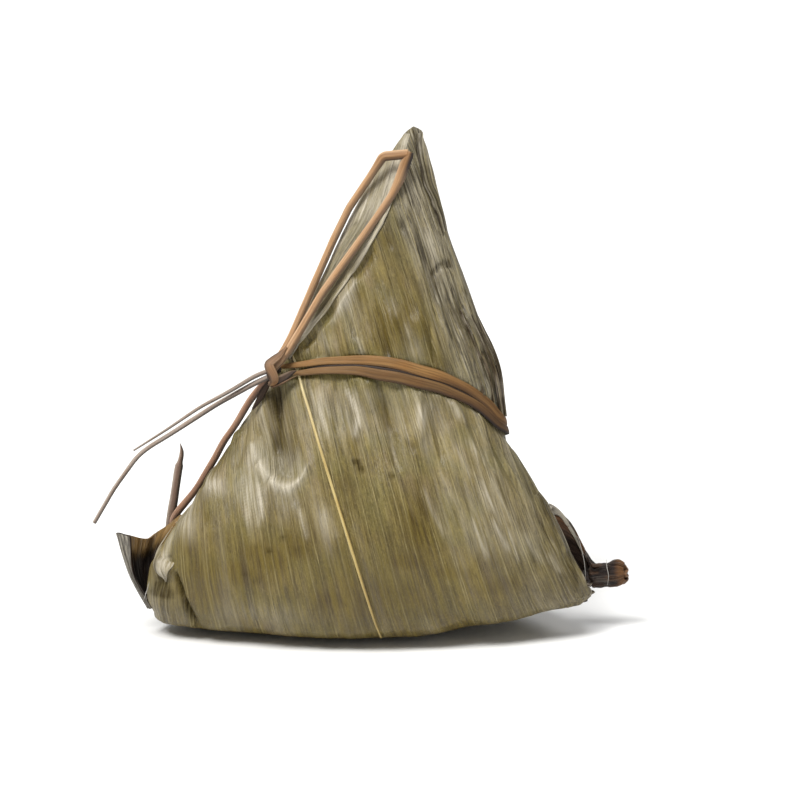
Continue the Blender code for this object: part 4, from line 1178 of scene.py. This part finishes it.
def overLeaf(name, degrees, height, lift, uv, tone, thickness=0.32):
    # A sheet of leaf lying over the parcel: points stand off the creased leaf by the lift
    finishes = [leafFinish(name + "Leaf", leafColours), leafFinish(name + "Under", greyLeafColours)]
    sheet = dict(points=onLeaf(degrees, height, lift), uv=np.stack(uv, -1), tone=tone)
    made = buildMesh(name, [sheet], finishes)
    thicken(made, thickness)
    place(made, "leaf")


facet = dict(
    top=92.3, foot=52.0, back=-222.0, rows=150, columns=110, roll=0.08, rollWidth=1.6, lift=0.35, lean=1.25,
    narrowRipple=0.1, wideRipple=0.22, rimHighlight=0.6, pale=0.3,
)


def makeFacetLeaf():
    # The fold at the upper left: from its rolled edge round to the back, grained along the edge
    share, height = sheetOver(facet, facet["foot"], facet["top"])
    edgeAcross = byTable(foldLine, height) + 0.06 * softNoise(height / 2, 0.5, 101)
    edge = directionAt(edgeAcross, height)
    degrees = facet["back"] + (edge - facet["back"]) * share ** 0.7
    away = edgeAcross - acrossAt(degrees, height)
    run = height * facet["lean"]
    ripple = facet["narrowRipple"] * softNoise(away / 1.1, run / 26, 103, True)
    ripple = ripple + facet["wideRipple"] * softNoise(away / 3.4 + 9, run / 20, 104, True)
    roll = facet["roll"] * bell(away / facet["rollWidth"])
    roll = roll * softStep(53, 60, height) * (1 - softStep(80, 84, height))
    lift = facet["lift"] + roll + ripple * softStep(-0.3, 1.8, away)
    lift = lift * (1 - softStep(84, 92.3, height) * 0.9)
    stain = 0.15 * softStep(0.2, 0.6, softNoise(away / 2, run / 9, 108))
    streaks = np.clip(softNoise(away / 0.7, run / 9, 105) + 0.1, 0, 1)
    # pale overall and in streaks, a painted highlight along the rolled rim, and paler high up
    bloom = facet["rimHighlight"] * bell(away / 0.3) + facet["pale"] + 0.8 * streaks
    bloom = bloom + 0.35 * softStep(74, 80, height) * softStep(90, 84, height)
    dirt = 0.35 * hills(away / 0.9 + 5, run / 18, 106) + 0.5 * softStep(55, 52, height)
    grey = 0.3 + 0.35 * softNoise(away / 3, run / 15, 107) + 0.35 * softStep(6, 9, away)
    overLeaf("facet", degrees, height, lift, (away, run), toned(stain, bloom, dirt, grey))
    print("upper left fold")


sideLeaf = dict(  # (height, direction) down its two edges
    edge=[(67, -27), (75.7, -28.2), (77.5, -28.8), (80.4, -32.2), (82.9, -39.2), (86.1, -46), (89.5, -56),
        (92.5, -66)],
    back=[(67, -20), (72, 15), (78, 50), (92.5, 80)], rows=90, columns=70, lift=0.3,
    ripple=0.16, rimLift=0.3, creases=[(0.0, 0.35, 1.1), (0.9, 0.18, 0.9), (1.7, 0.16, 0.7)],
)


def makeSideLeaf():
    # Narrow folded strips at the upper right, between the dark crease and the back
    low, high = sideLeaf["edge"][0][0], sideLeaf["edge"][-1][0]
    share, height = sheetOver(sideLeaf, low, high)
    edge = byTable(sideLeaf["edge"], height) + 1.2 * softNoise(height / 2.2, 0.5, 111)
    degrees = edge + (byTable(sideLeaf["back"], height) - edge) * share
    across = acrossAt(degrees, height)
    away = across - acrossAt(edge, height)
    lift = sideLeaf["lift"] + sideLeaf["ripple"] * softNoise(away / 0.6 + 3, height / 22, 113, True)
    lift = lift + sideLeaf["rimLift"] * np.exp(-away / 0.6)
    lift = lift * softStep(92.4, 88.5, height) * softStep(68, 82, height) - 0.4 * softStep(78, 70, height)
    stain = 0.35 * softStep(0, 0.6, softNoise(away / 0.8, height / 14, 115))
    bloom = 0.5 * hills(away / 0.6 + 7, height / 12, 116) + alongLines(glints, across, height)
    bloom = bloom + 0.35 * softStep(86, 90, height)
    dirt = softStep(87, 89, height) * alongLines(splitsAndCreaseShade, across, height)
    for where, width, strength in sideLeaf["creases"]:  # painted shade in the folds: how far in, width, strength
        dirt = dirt + strength * bell((away - where) / width)
    overLeaf("side", degrees, height, lift, (away, height), toned(stain, bloom, dirt, 0.75))
    print("upper right layers")


tornEdge = dict(  # (height, direction) up the edge, and the direction it reaches back to
    edge=[(2.6, -21), (3.6, -19.2), (4.6, -18.6), (5.8, -18.8), (7.6, -19.6), (9.8, -19.8), (11.8, -19),
        (14.1, -18), (17.5, -17.4), (22.7, -16.6), (28.4, -16), (31, -16)],
    inner=-52.0, rows=150, columns=120, lift=0.5,
    depth=0.45, reach=4.2, rimLift=0.12, thickness=0.3, lean=1.05,
)


def makeTornEdge():
    # The front leaf's free edge at the lower right: it rises out of the leaf and ends ragged
    share, height = sheetOver(tornEdge, tornEdge["edge"][0][0], tornEdge["edge"][-1][0])
    coarse, fine = softNoise(height / 0.9, 2.5, 122, True), softNoise(height / 0.4, 0.5, 121, True)
    ragged = softStep(8, 6, height) * (1.5 * fine + 0.9 * coarse)
    edge = byTable(tornEdge["edge"], height) + 0.25 * softNoise(height / 2.5, 4.5, 123) + ragged
    degrees = tornEdge["inner"] + (edge - tornEdge["inner"]) * share
    across = acrossAt(degrees, height)
    away = acrossAt(edge, height) - across
    depth = tornEdge["depth"]
    lift = (tornEdge["lift"] + depth) * bell(away / tornEdge["reach"]) - depth
    lift = lift + tornEdge["rimLift"] * np.exp(-away / 0.5)
    lift = np.minimum(lift, 1.2 * softStep(30.5, 24, height) - depth) * softStep(1.8, 3.2, height)
    stain, bloom, dirt, grey = marksAt(degrees, across, height)
    rim = bell(away / 0.5) * softStep(-0.2, 0.4, softNoise(height / 2, 0.5, 124))
    streaks = softStep(0.1, 0.5, softNoise((away + 0.25 * height) / 0.5, height / 5, 125))
    streaks = streaks * softStep(7, 1, away)
    tone = toned(stain, np.maximum(bloom, 0.6 * rim), np.maximum(dirt, 0.75 * streaks), grey)
    uv = veinPlace(across, height), height * tornEdge["lean"]
    overLeaf("tornEdge", degrees, height, lift, uv, tone, tornEdge["thickness"])
    print("torn edge")


leftEdge = dict(  # (height, direction) up its edge and up its inner side
    edge=[(11.6, -155.8), (13.2, -157.8), (14.6, -159.6), (16, -162.4), (18, -165.6), (20.7, -167),
        (23.3, -167.5), (25.5, -167.5), (31.9, -167), (37.6, -165), (41, -162)],
    inner=[(11.6, -155.6), (13.5, -155), (15, -154.8), (16.2, -155.6), (17.6, -155), (19, -152.5),
        (22, -146), (30, -138), (41, -135)],
    rows=130, columns=70, lift=0.4,
    depth=0.4, reach=2.2, rimLift=0.15, thickness=0.3, lean=1.05, paleWidth=2.7,
)


def makeLeftEdge():
    # The front leaf's edge at the left, which narrows to a pale folded tongue above the corner
    share, height = sheetOver(leftEdge, leftEdge["edge"][0][0], leftEdge["edge"][-1][0])
    edge = byTable(leftEdge["edge"], height)
    degrees = edge + (byTable(leftEdge["inner"], height) - edge) * share
    across = acrossAt(degrees, height)
    away = across - acrossAt(edge, height)
    free = softStep(16.6, 15.2, height)  # where both sides are free
    depth = leftEdge["depth"]
    lift = (leftEdge["lift"] + depth) * bell(away / leftEdge["reach"]) - depth
    lift = lift + leftEdge["rimLift"] * np.exp(-away / 0.35)
    lift = lift * (1 - free) + free * (0.32 + 0.2 * np.sin(np.pi * share))
    lift = np.minimum(lift, 1.1 * softStep(41, 36, height) - depth)
    stain, bloom, dirt, grey = marksAt(degrees, across, height)
    # a band along the edge and a thin line at it painted pale as highlights; the free tongue pale and
    # striped
    band = bell(away / leftEdge["paleWidth"]) * softStep(30, 24, height)
    striped = 0.5 + 0.5 * softNoise(across / 0.45, height / 4, 126)
    pale = 0.95 * band * (0.45 + 0.6 * striped) + 0.75 * free * striped + 0.5 * bell(away / 0.25)
    stain = np.maximum(stain * (1 - band), 0.7 * free * softStep(0.55, 0.2, share))
    dirt = np.maximum(dirt, 0.45 * free * softStep(0.35, 0.1, share))
    tone = toned(stain, np.maximum(bloom, pale), dirt, grey)
    uv = veinPlace(across, height), height * leftEdge["lean"]
    overLeaf("leftEdge", degrees, height, lift, uv, tone, leftEdge["thickness"])
    print("left edge")


slivers = [  # width, then (direction, height, lift) along each narrow fold and torn flake
    (1.2, [(-23.5, 60, -0.7), (-22.5, 55, 0.0), (-21.4, 50, 0.3), (-20.6, 45, 0.2), (-20, 41.5, -0.1)]),
    (0.8, [(-28, 59, -0.7), (-26, 54, 0.05), (-24.6, 49, 0.25), (-24, 44.2, 0.0)]),
    (0.7, [(-32, 55, -0.7), (-30, 51, 0.1), (-28.6, 47, 0.1), (-28, 44.5, -0.3)]),
    (1.1, [(-18.5, 60, -0.7), (-17.5, 54, 0.15), (-16.8, 48, 0.35), (-16.4, 41, 0)]),
    (0.6, [(-30, 61, -0.6), (-28.6, 57, 0.1), (-27.2, 52, 0.1), (-26.6, 48.5, -0.5)]),
    (0.8, [(-20, 7.4, -0.3), (-18, 7.2, 0.1), (-16.6, 6.8, 0.4)]),
    (0.6, [(-20, 5.4, -0.3), (-18.4, 5.4, 0.1), (-17, 5.4, 0.4)]),
    (0.9, [(-21.5, 4.0, -0.3), (-19.5, 4.0, 0.1), (-17.6, 4.2, 0.45)]),
]
sliverColours = palette(
    leafColours, ground=(92, 74, 58), pale=(120, 100, 82), deep=(48, 36, 28), grey=(92, 76, 64),
    greyPale=(122, 106, 92),
)


def makeSlivers():
    # A folded profile carried along each over the leaf, widest at the middle of its length
    parts = []
    for width, keys in slivers:
        path, facing, _ = woundPath(keys, 0.1, 0.3)
        share = shares(len(path))
        bloom = 0.35 * hills(share * 6, width * 5, 128)
        dirt = 0.25 + 0.7 * softStep(-0.2, 0.4, softNoise(share * 8, width * 7, 129))
        parts.append(carried(
            path, facing, tentProfile(20), width * (0.7 + 0.3 * np.sin(np.pi * share)), 0.8,
            toned(0, bloom, dirt, 0.9)[:, None], 16 * softNoise(share * 5, width * 9, 127)))
    place(buildMesh("slivers", parts, [leafFinish("sliverLeaf", sliverColours)]), "leaf")
    print("slivers")


backLeaf = dict(  # (height, direction) up its two sides
    right=[(1.2, 28), (12, 34), (40, 52), (70, 66), (89, 76)],
    left=[(1.2, 152), (30, 138), (60, 120), (89, 108)], rows=150, columns=130, lift=0.42,
    narrowRipple=0.12, wideRipple=0.3, rimLift=0.25, tiePress=0.35, tieReach=1.5, least=0.06,
)


def makeBackLeaf():
    # The outer leaf's end, laid over the back from the base to the tip, grained along its length
    share, height = sheetOver(backLeaf, backLeaf["right"][0][0], backLeaf["right"][-1][0])
    right = byTable(backLeaf["right"], height) + 0.8 * softNoise(height / 6, 0.5, 131)
    left = byTable(backLeaf["left"], height) + 1.2 * softNoise(height / 8, 3.5, 132)
    degrees = right + (left - right) * share
    along = lengthAlong(parcelAt(degrees, height))
    across = along - along[:, -1:] * 0.5
    crinkle = backLeaf["narrowRipple"] * softNoise(across / 1.2 + 30, height / 24, 133, True)
    crinkle = crinkle + backLeaf["wideRipple"] * softNoise(across / 4 + 9, height / 16, 134, True)
    rims = np.exp(-along / 0.8) + np.exp(-(along[:, -1:] - along) / 0.8)
    lift = backLeaf["lift"] + crinkle + backLeaf["rimLift"] * rims
    for name in ("upper", "lower"):
        away = height - tieHeight(name, degrees)
        lift = lift - backLeaf["tiePress"] * bell(away / backLeaf["tieReach"])
    lift = np.maximum(lift, backLeaf["least"]) * softStep(0.8, 2.4, height) * softStep(89.5, 84, height)
    stain = 0.5 * softStep(0.1, 0.7, softNoise(across / 6, height / 9, 135))
    bloom = 0.4 * hills(across / 1.6, height / 12, 136)
    dirt = 0.3 * softStep(0.2, 0.7, softNoise(across / 1.1, height / 14, 137))
    overLeaf("back", degrees, height, lift, (across, height), toned(stain, bloom, dirt, 0.15))
    print("back leaf")


def besideParcel(direction, height, gap):  # a place off the smooth parcel, before it is creased
    return parcelAt(direction, height) + gap * facingAt(direction, height)


curl = dict(  # each row runs from the parcel to the free lip
    rootDirection=190.0, innerDirection=197.0, rootHeights=(5, 13.2, 21.5), standOff=1.2,
    rows=[[(-40.4, -11.5, 5.4), (-40.7, -13, 5.4), (-40.7, -14.4, 5.3), (-40.4, -15.6, 5.4),
         (-40.0, -16.7, 5.5), (-39.7, -17.2, 5.7)],
        [(-40.2, -8.8, 12.2), (-41.8, -10.2, 11.9), (-43.2, -11.6, 11.6), (-44.0, -13.2, 11.4),
         (-43.9, -14.9, 11.9), (-43.0, -15.9, 12)],
        [(-38.9, -7.8, 18.0), (-40.9, -9.2, 16.9), (-43.2, -10.6, 17.9), (-45.4, -11.8, 18.6),
         (-46.3, -13.4, 19.0), (-43.7, -15.1, 19.1)]],
    steps=(80, 90), thickness=0.35,
    length=24, rise=17, outsideColours=greyLeafColours,
    insideColours=palette(darkLeafColours, stain=(124, 96, 52), stainPale=(152, 120, 70)),
)


def makeCurl():
    # The leaf end curled into a pocket: three curves from root to lip and a smooth surface through them
    heights = np.array(curl["rootHeights"], float)
    roots = besideParcel(curl["rootDirection"], heights, curl["standOff"])
    inner = parcelAt(curl["innerDirection"], heights)
    rows, columns = curl["steps"]
    u, v = np.meshgrid(shares(columns), shares(rows))
    lines = [
        throughKeys(numbered([start, root, *row]), shares(columns))
        for start, root, row in zip(inner, roots, curl["rows"])
    ]
    points = throughKeys(numbered([line.ravel() for line in lines]), shares(rows)).reshape(rows, columns, 3)
    outward = unit(np.cross(np.gradient(points, axis=1), np.gradient(points, axis=0)))
    crinkle = 0.12 * softNoise(u * 26, v * 1.4, 141, True) + 0.16 * softNoise(u * 8 + 4, v * 2.2, 142, True)
    points = points + (crinkle * softStep(0, 0.1, u))[..., None] * outward
    points[..., 2] += 0.35 * softNoise(u * 9, 0.5, 143) * softStep(0.8, 1, v)
    length = curl["length"] * u
    stripe = softNoise(length / 0.7, v * 2, 144)
    # painted shade down in the pocket, and darker towards the lip
    dark = np.clip(softStep(0.86, 0.68, v + 0.06 * stripe) + 0.4 * softStep(0.6, 0.8, u), 0, 1)
    brown = softStep(0.58, 0.82, v) * softStep(0.75, 0.5, u)
    innerTone = toned(brown, 0.35 * np.clip(stripe, 0, 1), dark * 0.9, 0.3)
    lined = softNoise(length / 0.42, v * 5, 145)
    spots = softStep(0.25, 0.6, softNoise(length / 0.5, v * 16, 146))
    dirt = 0.85 * softStep(0.05, 0.5, -lined) + 0.5 * spots + 0.6 * softStep(0.45, 0.1, v)
    outerTone = toned(0, 0.7 * softStep(0.1, 0.6, lined), dirt, 0.3)
    half = 0.5 * curl["thickness"] * outward
    uv = np.stack([length, v * curl["rise"]], -1)
    finishes = [
        leafFinish("curlOutside", curl["outsideColours"]),
        leafFinish("curlInside", curl["insideColours"], 0.3, (0.5, 0.7)),
    ]
    wall = twoSided(points + half, points - half, uv, outerTone, innerTone)
    place(buildMesh("cornerCurl", wall, finishes), "leaf", "corner_curl")
    print("corner curl")


def twoSided(outside, inside, uv, outerTone, innerTone, outerSlot=0, innerSlot=1, rimUv=0.2):
    # A closed wall from two matching grids, its rim finished like the inner face
    parts = [
        dict(points=outside, uv=uv, tone=outerTone, slot=outerSlot),
        dict(points=inside[:, ::-1], uv=uv[:, ::-1], tone=innerTone[:, ::-1], slot=innerSlot),
    ]
    top, foot, left, right = (0,), (-1,), (slice(None), 0), (slice(None), -1)
    for line, flip in ((top, False), (foot, True), (left, True), (right, False)):
        points = np.stack([outside[line], inside[line]])
        tone = np.stack([innerTone[line]] * 2)
        rim = np.stack([uv[line]] * 2) + np.array([[[0.0, 0.0]], [[rimUv, 0.0]]])
        turned = slice(None, None, -1 if flip else 1)
        parts.append(dict(
            points=points[::-1, turned], uv=rim[::-1, turned], tone=tone[::-1, turned], slot=innerSlot))
    return parts


tail = dict(  # the flap at the lower right and the roll it ends in
    rootDirection=-11.0, innerDirection=-16.0, top=23.7, foot=4.4, standOff=1.2, leaves=14.0, arrives=3.5,
    headingTop=(1, 0.1, -0.26), headingFoot=(0.45, 0.08, -0.03), start=(43.3, -10.4, 10.15),
    end=(48.7, -12, 11.1), wrapRadius=2.25, wrapFrom=-35, wrapTurn=400, rollRadius=1.35,
    knob=[(0, 1), (0.2, 0.97), (0.42, 0.9), (0.7, 1.06), (0.88, 1.0), (1, 0.72)],
    split=32, rollTurns=1.25, rollPitch=0.8, rollProud=0.5, thickness=0.35,
    flapColumns=90, flapRows=80, bridgeRows=8, rollRows=26, acrossUv=22, alongUv=15, rimFrom=6,
    rimRows=56, sunk=0.3, spiralColumns=110, spiralRows=60, spiralStart=-2.6, spiralWall=0.32,
    coreColours=palette(darkLeafColours, ground=(98, 62, 32), pale=(136, 92, 52), straw=(150, 106, 64)),
)


def tailAxes():  # where the roll starts and ends, and its three directions
    start, end = np.array(tail["start"]), np.array(tail["end"])
    axis = unit(end - start)
    across = unit(np.cross(axis, (0, 0, 1)))
    return start, end, axis, across, np.cross(across, axis)


def flapSurface():
    # A sheet from the parcel's right edge to a ring round the rolled tail, blended by Hermite's curve,
    # then drawn along the roll
    start, end, axis, across, upright = tailAxes()
    down, out = shares(tail["flapColumns"]), shares(tail["flapRows"])[:, None, None]
    height = tail["top"] + (tail["foot"] - tail["top"]) * down
    root = besideParcel(tail["rootDirection"], height, tail["standOff"])
    turn = np.radians(tail["wrapFrom"] + tail["wrapTurn"] * down)[:, None]
    radius = (tail["wrapRadius"] - 0.32 * softStep(0.85, 1, down))[:, None]
    ring = start + radius * (np.cos(turn) * upright - np.sin(turn) * across)
    top, foot = np.array(tail["headingTop"]), np.array(tail["headingFoot"])
    leave = tail["leaves"] * (top + (foot - top) * down[:, None])
    points = (
        (1 + 2 * out) * (1 - out) ** 2 * root + out * (1 - out) ** 2 * leave
        + out * out * (3 - 2 * out) * ring + out * out * (out - 1) * tail["arrives"] * axis
    )
    inner = besideParcel(tail["innerDirection"], height, -tail["sunk"])
    bridge = inner + shares(tail["bridgeRows"])[:-1, None, None] * (root - inner)
    reach = shares(tail["rollRows"])[1:, None, None]
    crush = throughKeys(tail["knob"], reach[:, 0, 0])[:, None]
    crush = crush + 0.16 * softNoise(down * 6, reach[..., 0] * 2.5, 151)[..., None]
    straight = start + (ring - start) * crush + reach * (end - start)
    points = np.concatenate([bridge, points, straight])
    u, v = np.meshgrid(down, shares(len(points)))
    facing = unit(np.cross(np.gradient(points, axis=1), np.gradient(points, axis=0)))
    crinkle = 0.14 * softNoise(u * 20, v * 3, 152, True) + 0.2 * softNoise(u * 7 + 5, v * 5, 153, True)
    crumple = 0.22 * softNoise(u * 16, v * 14, 159) + 0.12 * softNoise(u * 34, v * 26, 160)
    crinkle = crinkle + softStep(0.5, 0.7, v) * crumple
    return u, v, points + (crinkle * softStep(0.05, 0.25, v))[..., None] * facing, facing


def makeTailFlap():
    # The flap as a wall of two faces, dark within and grey outside; its rolled end is dark on both
    u, v, points, facing = flapSurface()
    # painted shade deep inside the flap, towards the parcel
    pocketShade = softStep(0.2, 0.42, u) * softStep(0.8, 0.5, v)
    brown = 0.55 * softStep(0.3, 0.1, u) * softStep(0.9, 0.3, v)
    brown = brown + 1.3 * softStep(0.3, 0.5, v) * softStep(0.8, 0.66, v) * softStep(0.35, 0.15, u)
    pale = 0.95 * bell(u / 0.045) * softStep(0.85, 0.6, v)
    brown = 0.4 * brown + 0.12 * softStep(0.5, 0.15, u)
    innerTone = toned(brown, pale, 0.95 * pocketShade, 0.5 * softStep(0.6, 0.85, v))
    rolled = softStep(0.3, 0.5, v)
    # random worn pale patches on the outer face
    patchiness = 0.4 * hills(u * 14, v * 2, 154) * (1 - rolled)
    outerTone = toned(0.5 * rolled, patchiness, 0.2 + 0.6 * rolled, 0.3 + 0.7 * rolled)
    stain = 0.85 * softStep(0.93, 0.99, v) + 0.2 * softStep(0.1, 0.6, softNoise(u * 12, v * 10, 157))
    stain = stain + 0.7 * bell((v - 0.45) / 0.09) * softStep(0.45, 0.1, u)
    rolledTone = toned(stain, 0.2 * softStep(0.35, 0.7, softNoise(u * 26, v * 16, 158)), 0.58, 0.4)
    uv = np.stack([u * tail["acrossUv"], v * tail["alongUv"]], -1)
    half = 0.5 * tail["thickness"] * facing
    outer, inner = points + half, points - half
    k = tail["split"]  # from this row on the leaf is dark and crumpled on both faces
    wall = twoSided(outer[:k + 1], inner[:k + 1], uv[:k + 1], innerTone[:k + 1], outerTone[:k + 1])
    wall += twoSided(outer[k:], inner[k:], uv[k:], rolledTone[k:], rolledTone[k:], 2, 2)
    finishes = [
        leafFinish("flapInside", darkLeafColours, 0.3, (0.5, 0.7)),
        leafFinish("flapOutside", greyLeafColours, 0.3, (0.5, 0.7)),
        leafFinish("flapRolled", darkLeafColours, 0.35, (0.45, 0.65), 0.3, 1.5),
    ]
    place(buildMesh("tailFlap", wall, finishes), "leaf_inside", "tail_flap")
    makeFlapRim(points, facing)
    print("tail flap")


def makeFlapRim(points, facing, columns=28):
    # The pale folded rim on the flap's upper edge: a bulging profile along it, narrowing outwards
    share = shares(tail["rimRows"])
    width = 2.0 * softStep(-0.35, 0.1, share) * (1 - 0.5 * softStep(0.08, 0.35, share))
    width = width * (1 - share) ** 0.6 + 0.06
    edge = slice(tail["rimFrom"], tail["rimFrom"] + tail["rimRows"])
    inward = np.array([-0.62, 0, -0.78])
    rim = points[edge, 0] + 0.3 * facing[edge, 0] + (0.42 * width)[:, None] * inward
    ring = np.cos(np.linspace(0, 2 * np.pi, columns, endpoint=False))[None, :]
    streaks = softNoise(ring * 2.4 + 5, share[:, None] * 5, 156)
    blot = np.exp(-(((share[:, None] - 0.13) / 0.05) ** 2) - ((ring - 0.1) / 0.6) ** 2)
    tone = toned(0, 0.45 + 0.5 * streaks, 0.95 * blot + 0.5 * softStep(0.2, 0.6, -streaks), 0)
    twist = 9 * softNoise(share * 6, 0.5, 155)
    part = carried(rim, (0.25, -1, 0.35), bandProfile(0.12, columns), width, 0.3, tone, twist)
    place(buildMesh("flapRim", [part], [leafFinish("flapRim", greyLeafColours)]), "leaf_inside")


def makeTailRoll():
    # A spiral wall drawn out along the roll, wrinkled, with a thin core showing at its end
    start, end, axis, across, upright = tailAxes()
    turn = np.linspace(0, tail["rollTurns"] * 2 * np.pi, tail["spiralColumns"])
    length = np.linalg.norm(end - start) + tail["rollProud"]
    along = np.linspace(tail["spiralStart"], length, tail["spiralRows"])
    t, a = np.meshgrid(turn, along)
    radius = tail["rollRadius"] + 1.1 * softStep(0.4, -1.2, a) - tail["rollPitch"] * t / (2 * np.pi)
    radius = radius * (1 + 0.1 * softNoise(t * 1.7, a / 1.6, 161))
    radius = radius + 0.06 * softNoise(t * 6, a / 3, 162, True)
    tip = a + 0.25 * softNoise(t * 1.5, 0.5, 163) * softStep(0.7, 1, a / along[-1])
    facing = np.cos(t)[..., None] * upright - np.sin(t)[..., None] * across
    points = start + tip[..., None] * axis + radius[..., None] * facing
    sideways = np.cross(np.gradient(points, axis=1), np.gradient(points, axis=0))
    if np.einsum("ijk,ijk->", sideways, facing) < 0:
        points, facing, t, a = points[:, ::-1], facing[:, ::-1], t[:, ::-1], a[:, ::-1]
    orange = softStep(0.75, 0.95, a / along[-1])
    tone = toned(0.8 * orange, 0.1 * orange, 0.3 * (1 - orange), 0.7 * (1 - orange))
    uv = np.stack([t * 2, a], -1)
    wall = twoSided(points, points - tail["spiralWall"] * facing, uv, tone, tone)
    finishes = [
        leafFinish("rollOutside", darkLeafColours, 0.45, (0.4, 0.6)),
        leafFinish("rollInside", tail["coreColours"]),
    ]
    place(buildMesh("tailRoll", wall, finishes), "leaf_inside", "tail_roll")
    print("tail roll")


fibres = [  # loose pale fibres, each a list of places with the fibre's width in front
    (0.12, [
        (39.7, -12.9, 18.4), (40.1, -13.3, 17.2), (40.9, -13.7, 13.8), (41.2, -13.9, 11), (41.3, -14, 9.4),
    ]),
    (0.11, [(45.2, -11.6, 13.5), (45.2, -13.5, 12.6), (45.5, -13.8, 11), (45.4, -13.1, 9.0)]),
    (0.12, [(-40, -17.6, 11.2), (-40.5, -17.9, 9.4), (-41.2, -18, 7.4)]),
    (0.1, [(-40.3, -17.5, 9.8), (-40.8, -17.8, 8.6), (-40.6, -17.9, 7.6)]),
]
fibreColours = palette(
    grassColours, ground=(140, 136, 130), pale=(164, 160, 156), deep=(104, 100, 94), warm=(140, 132, 120),
    bloom=(176, 172, 166),
)


def makeFibres():
    # A bulging profile carried along each, thickest at the middle of its length
    parts = []
    for width, keys in fibres:
        path = evenPath(keys, 0.3)
        widths = width * (0.5 + np.sin(np.pi * shares(len(path))) * 0.6)
        parts.append(carried(
            path, (0.1, -1, 0.2), bandProfile(0.2, 8), widths, width * 0.7, (0, 0.6, 0, 1)))
    place(buildMesh("looseFibres", parts, [grassFinish("fibrePale", fibreColours)]), "leaf_inside")
    print("loose fibres")


makeStudio()
makeSkin()
makeTurns()
makeLoop()
makeLooseEnds()
makeKnot()
makeMidrib()
makeFacetLeaf()
makeSideLeaf()
makeTornEdge()
makeSlivers()
makeLeftEdge()
makeBackLeaf()
makeCurl()
makeTailFlap()
makeTailRoll()
makeFibres()
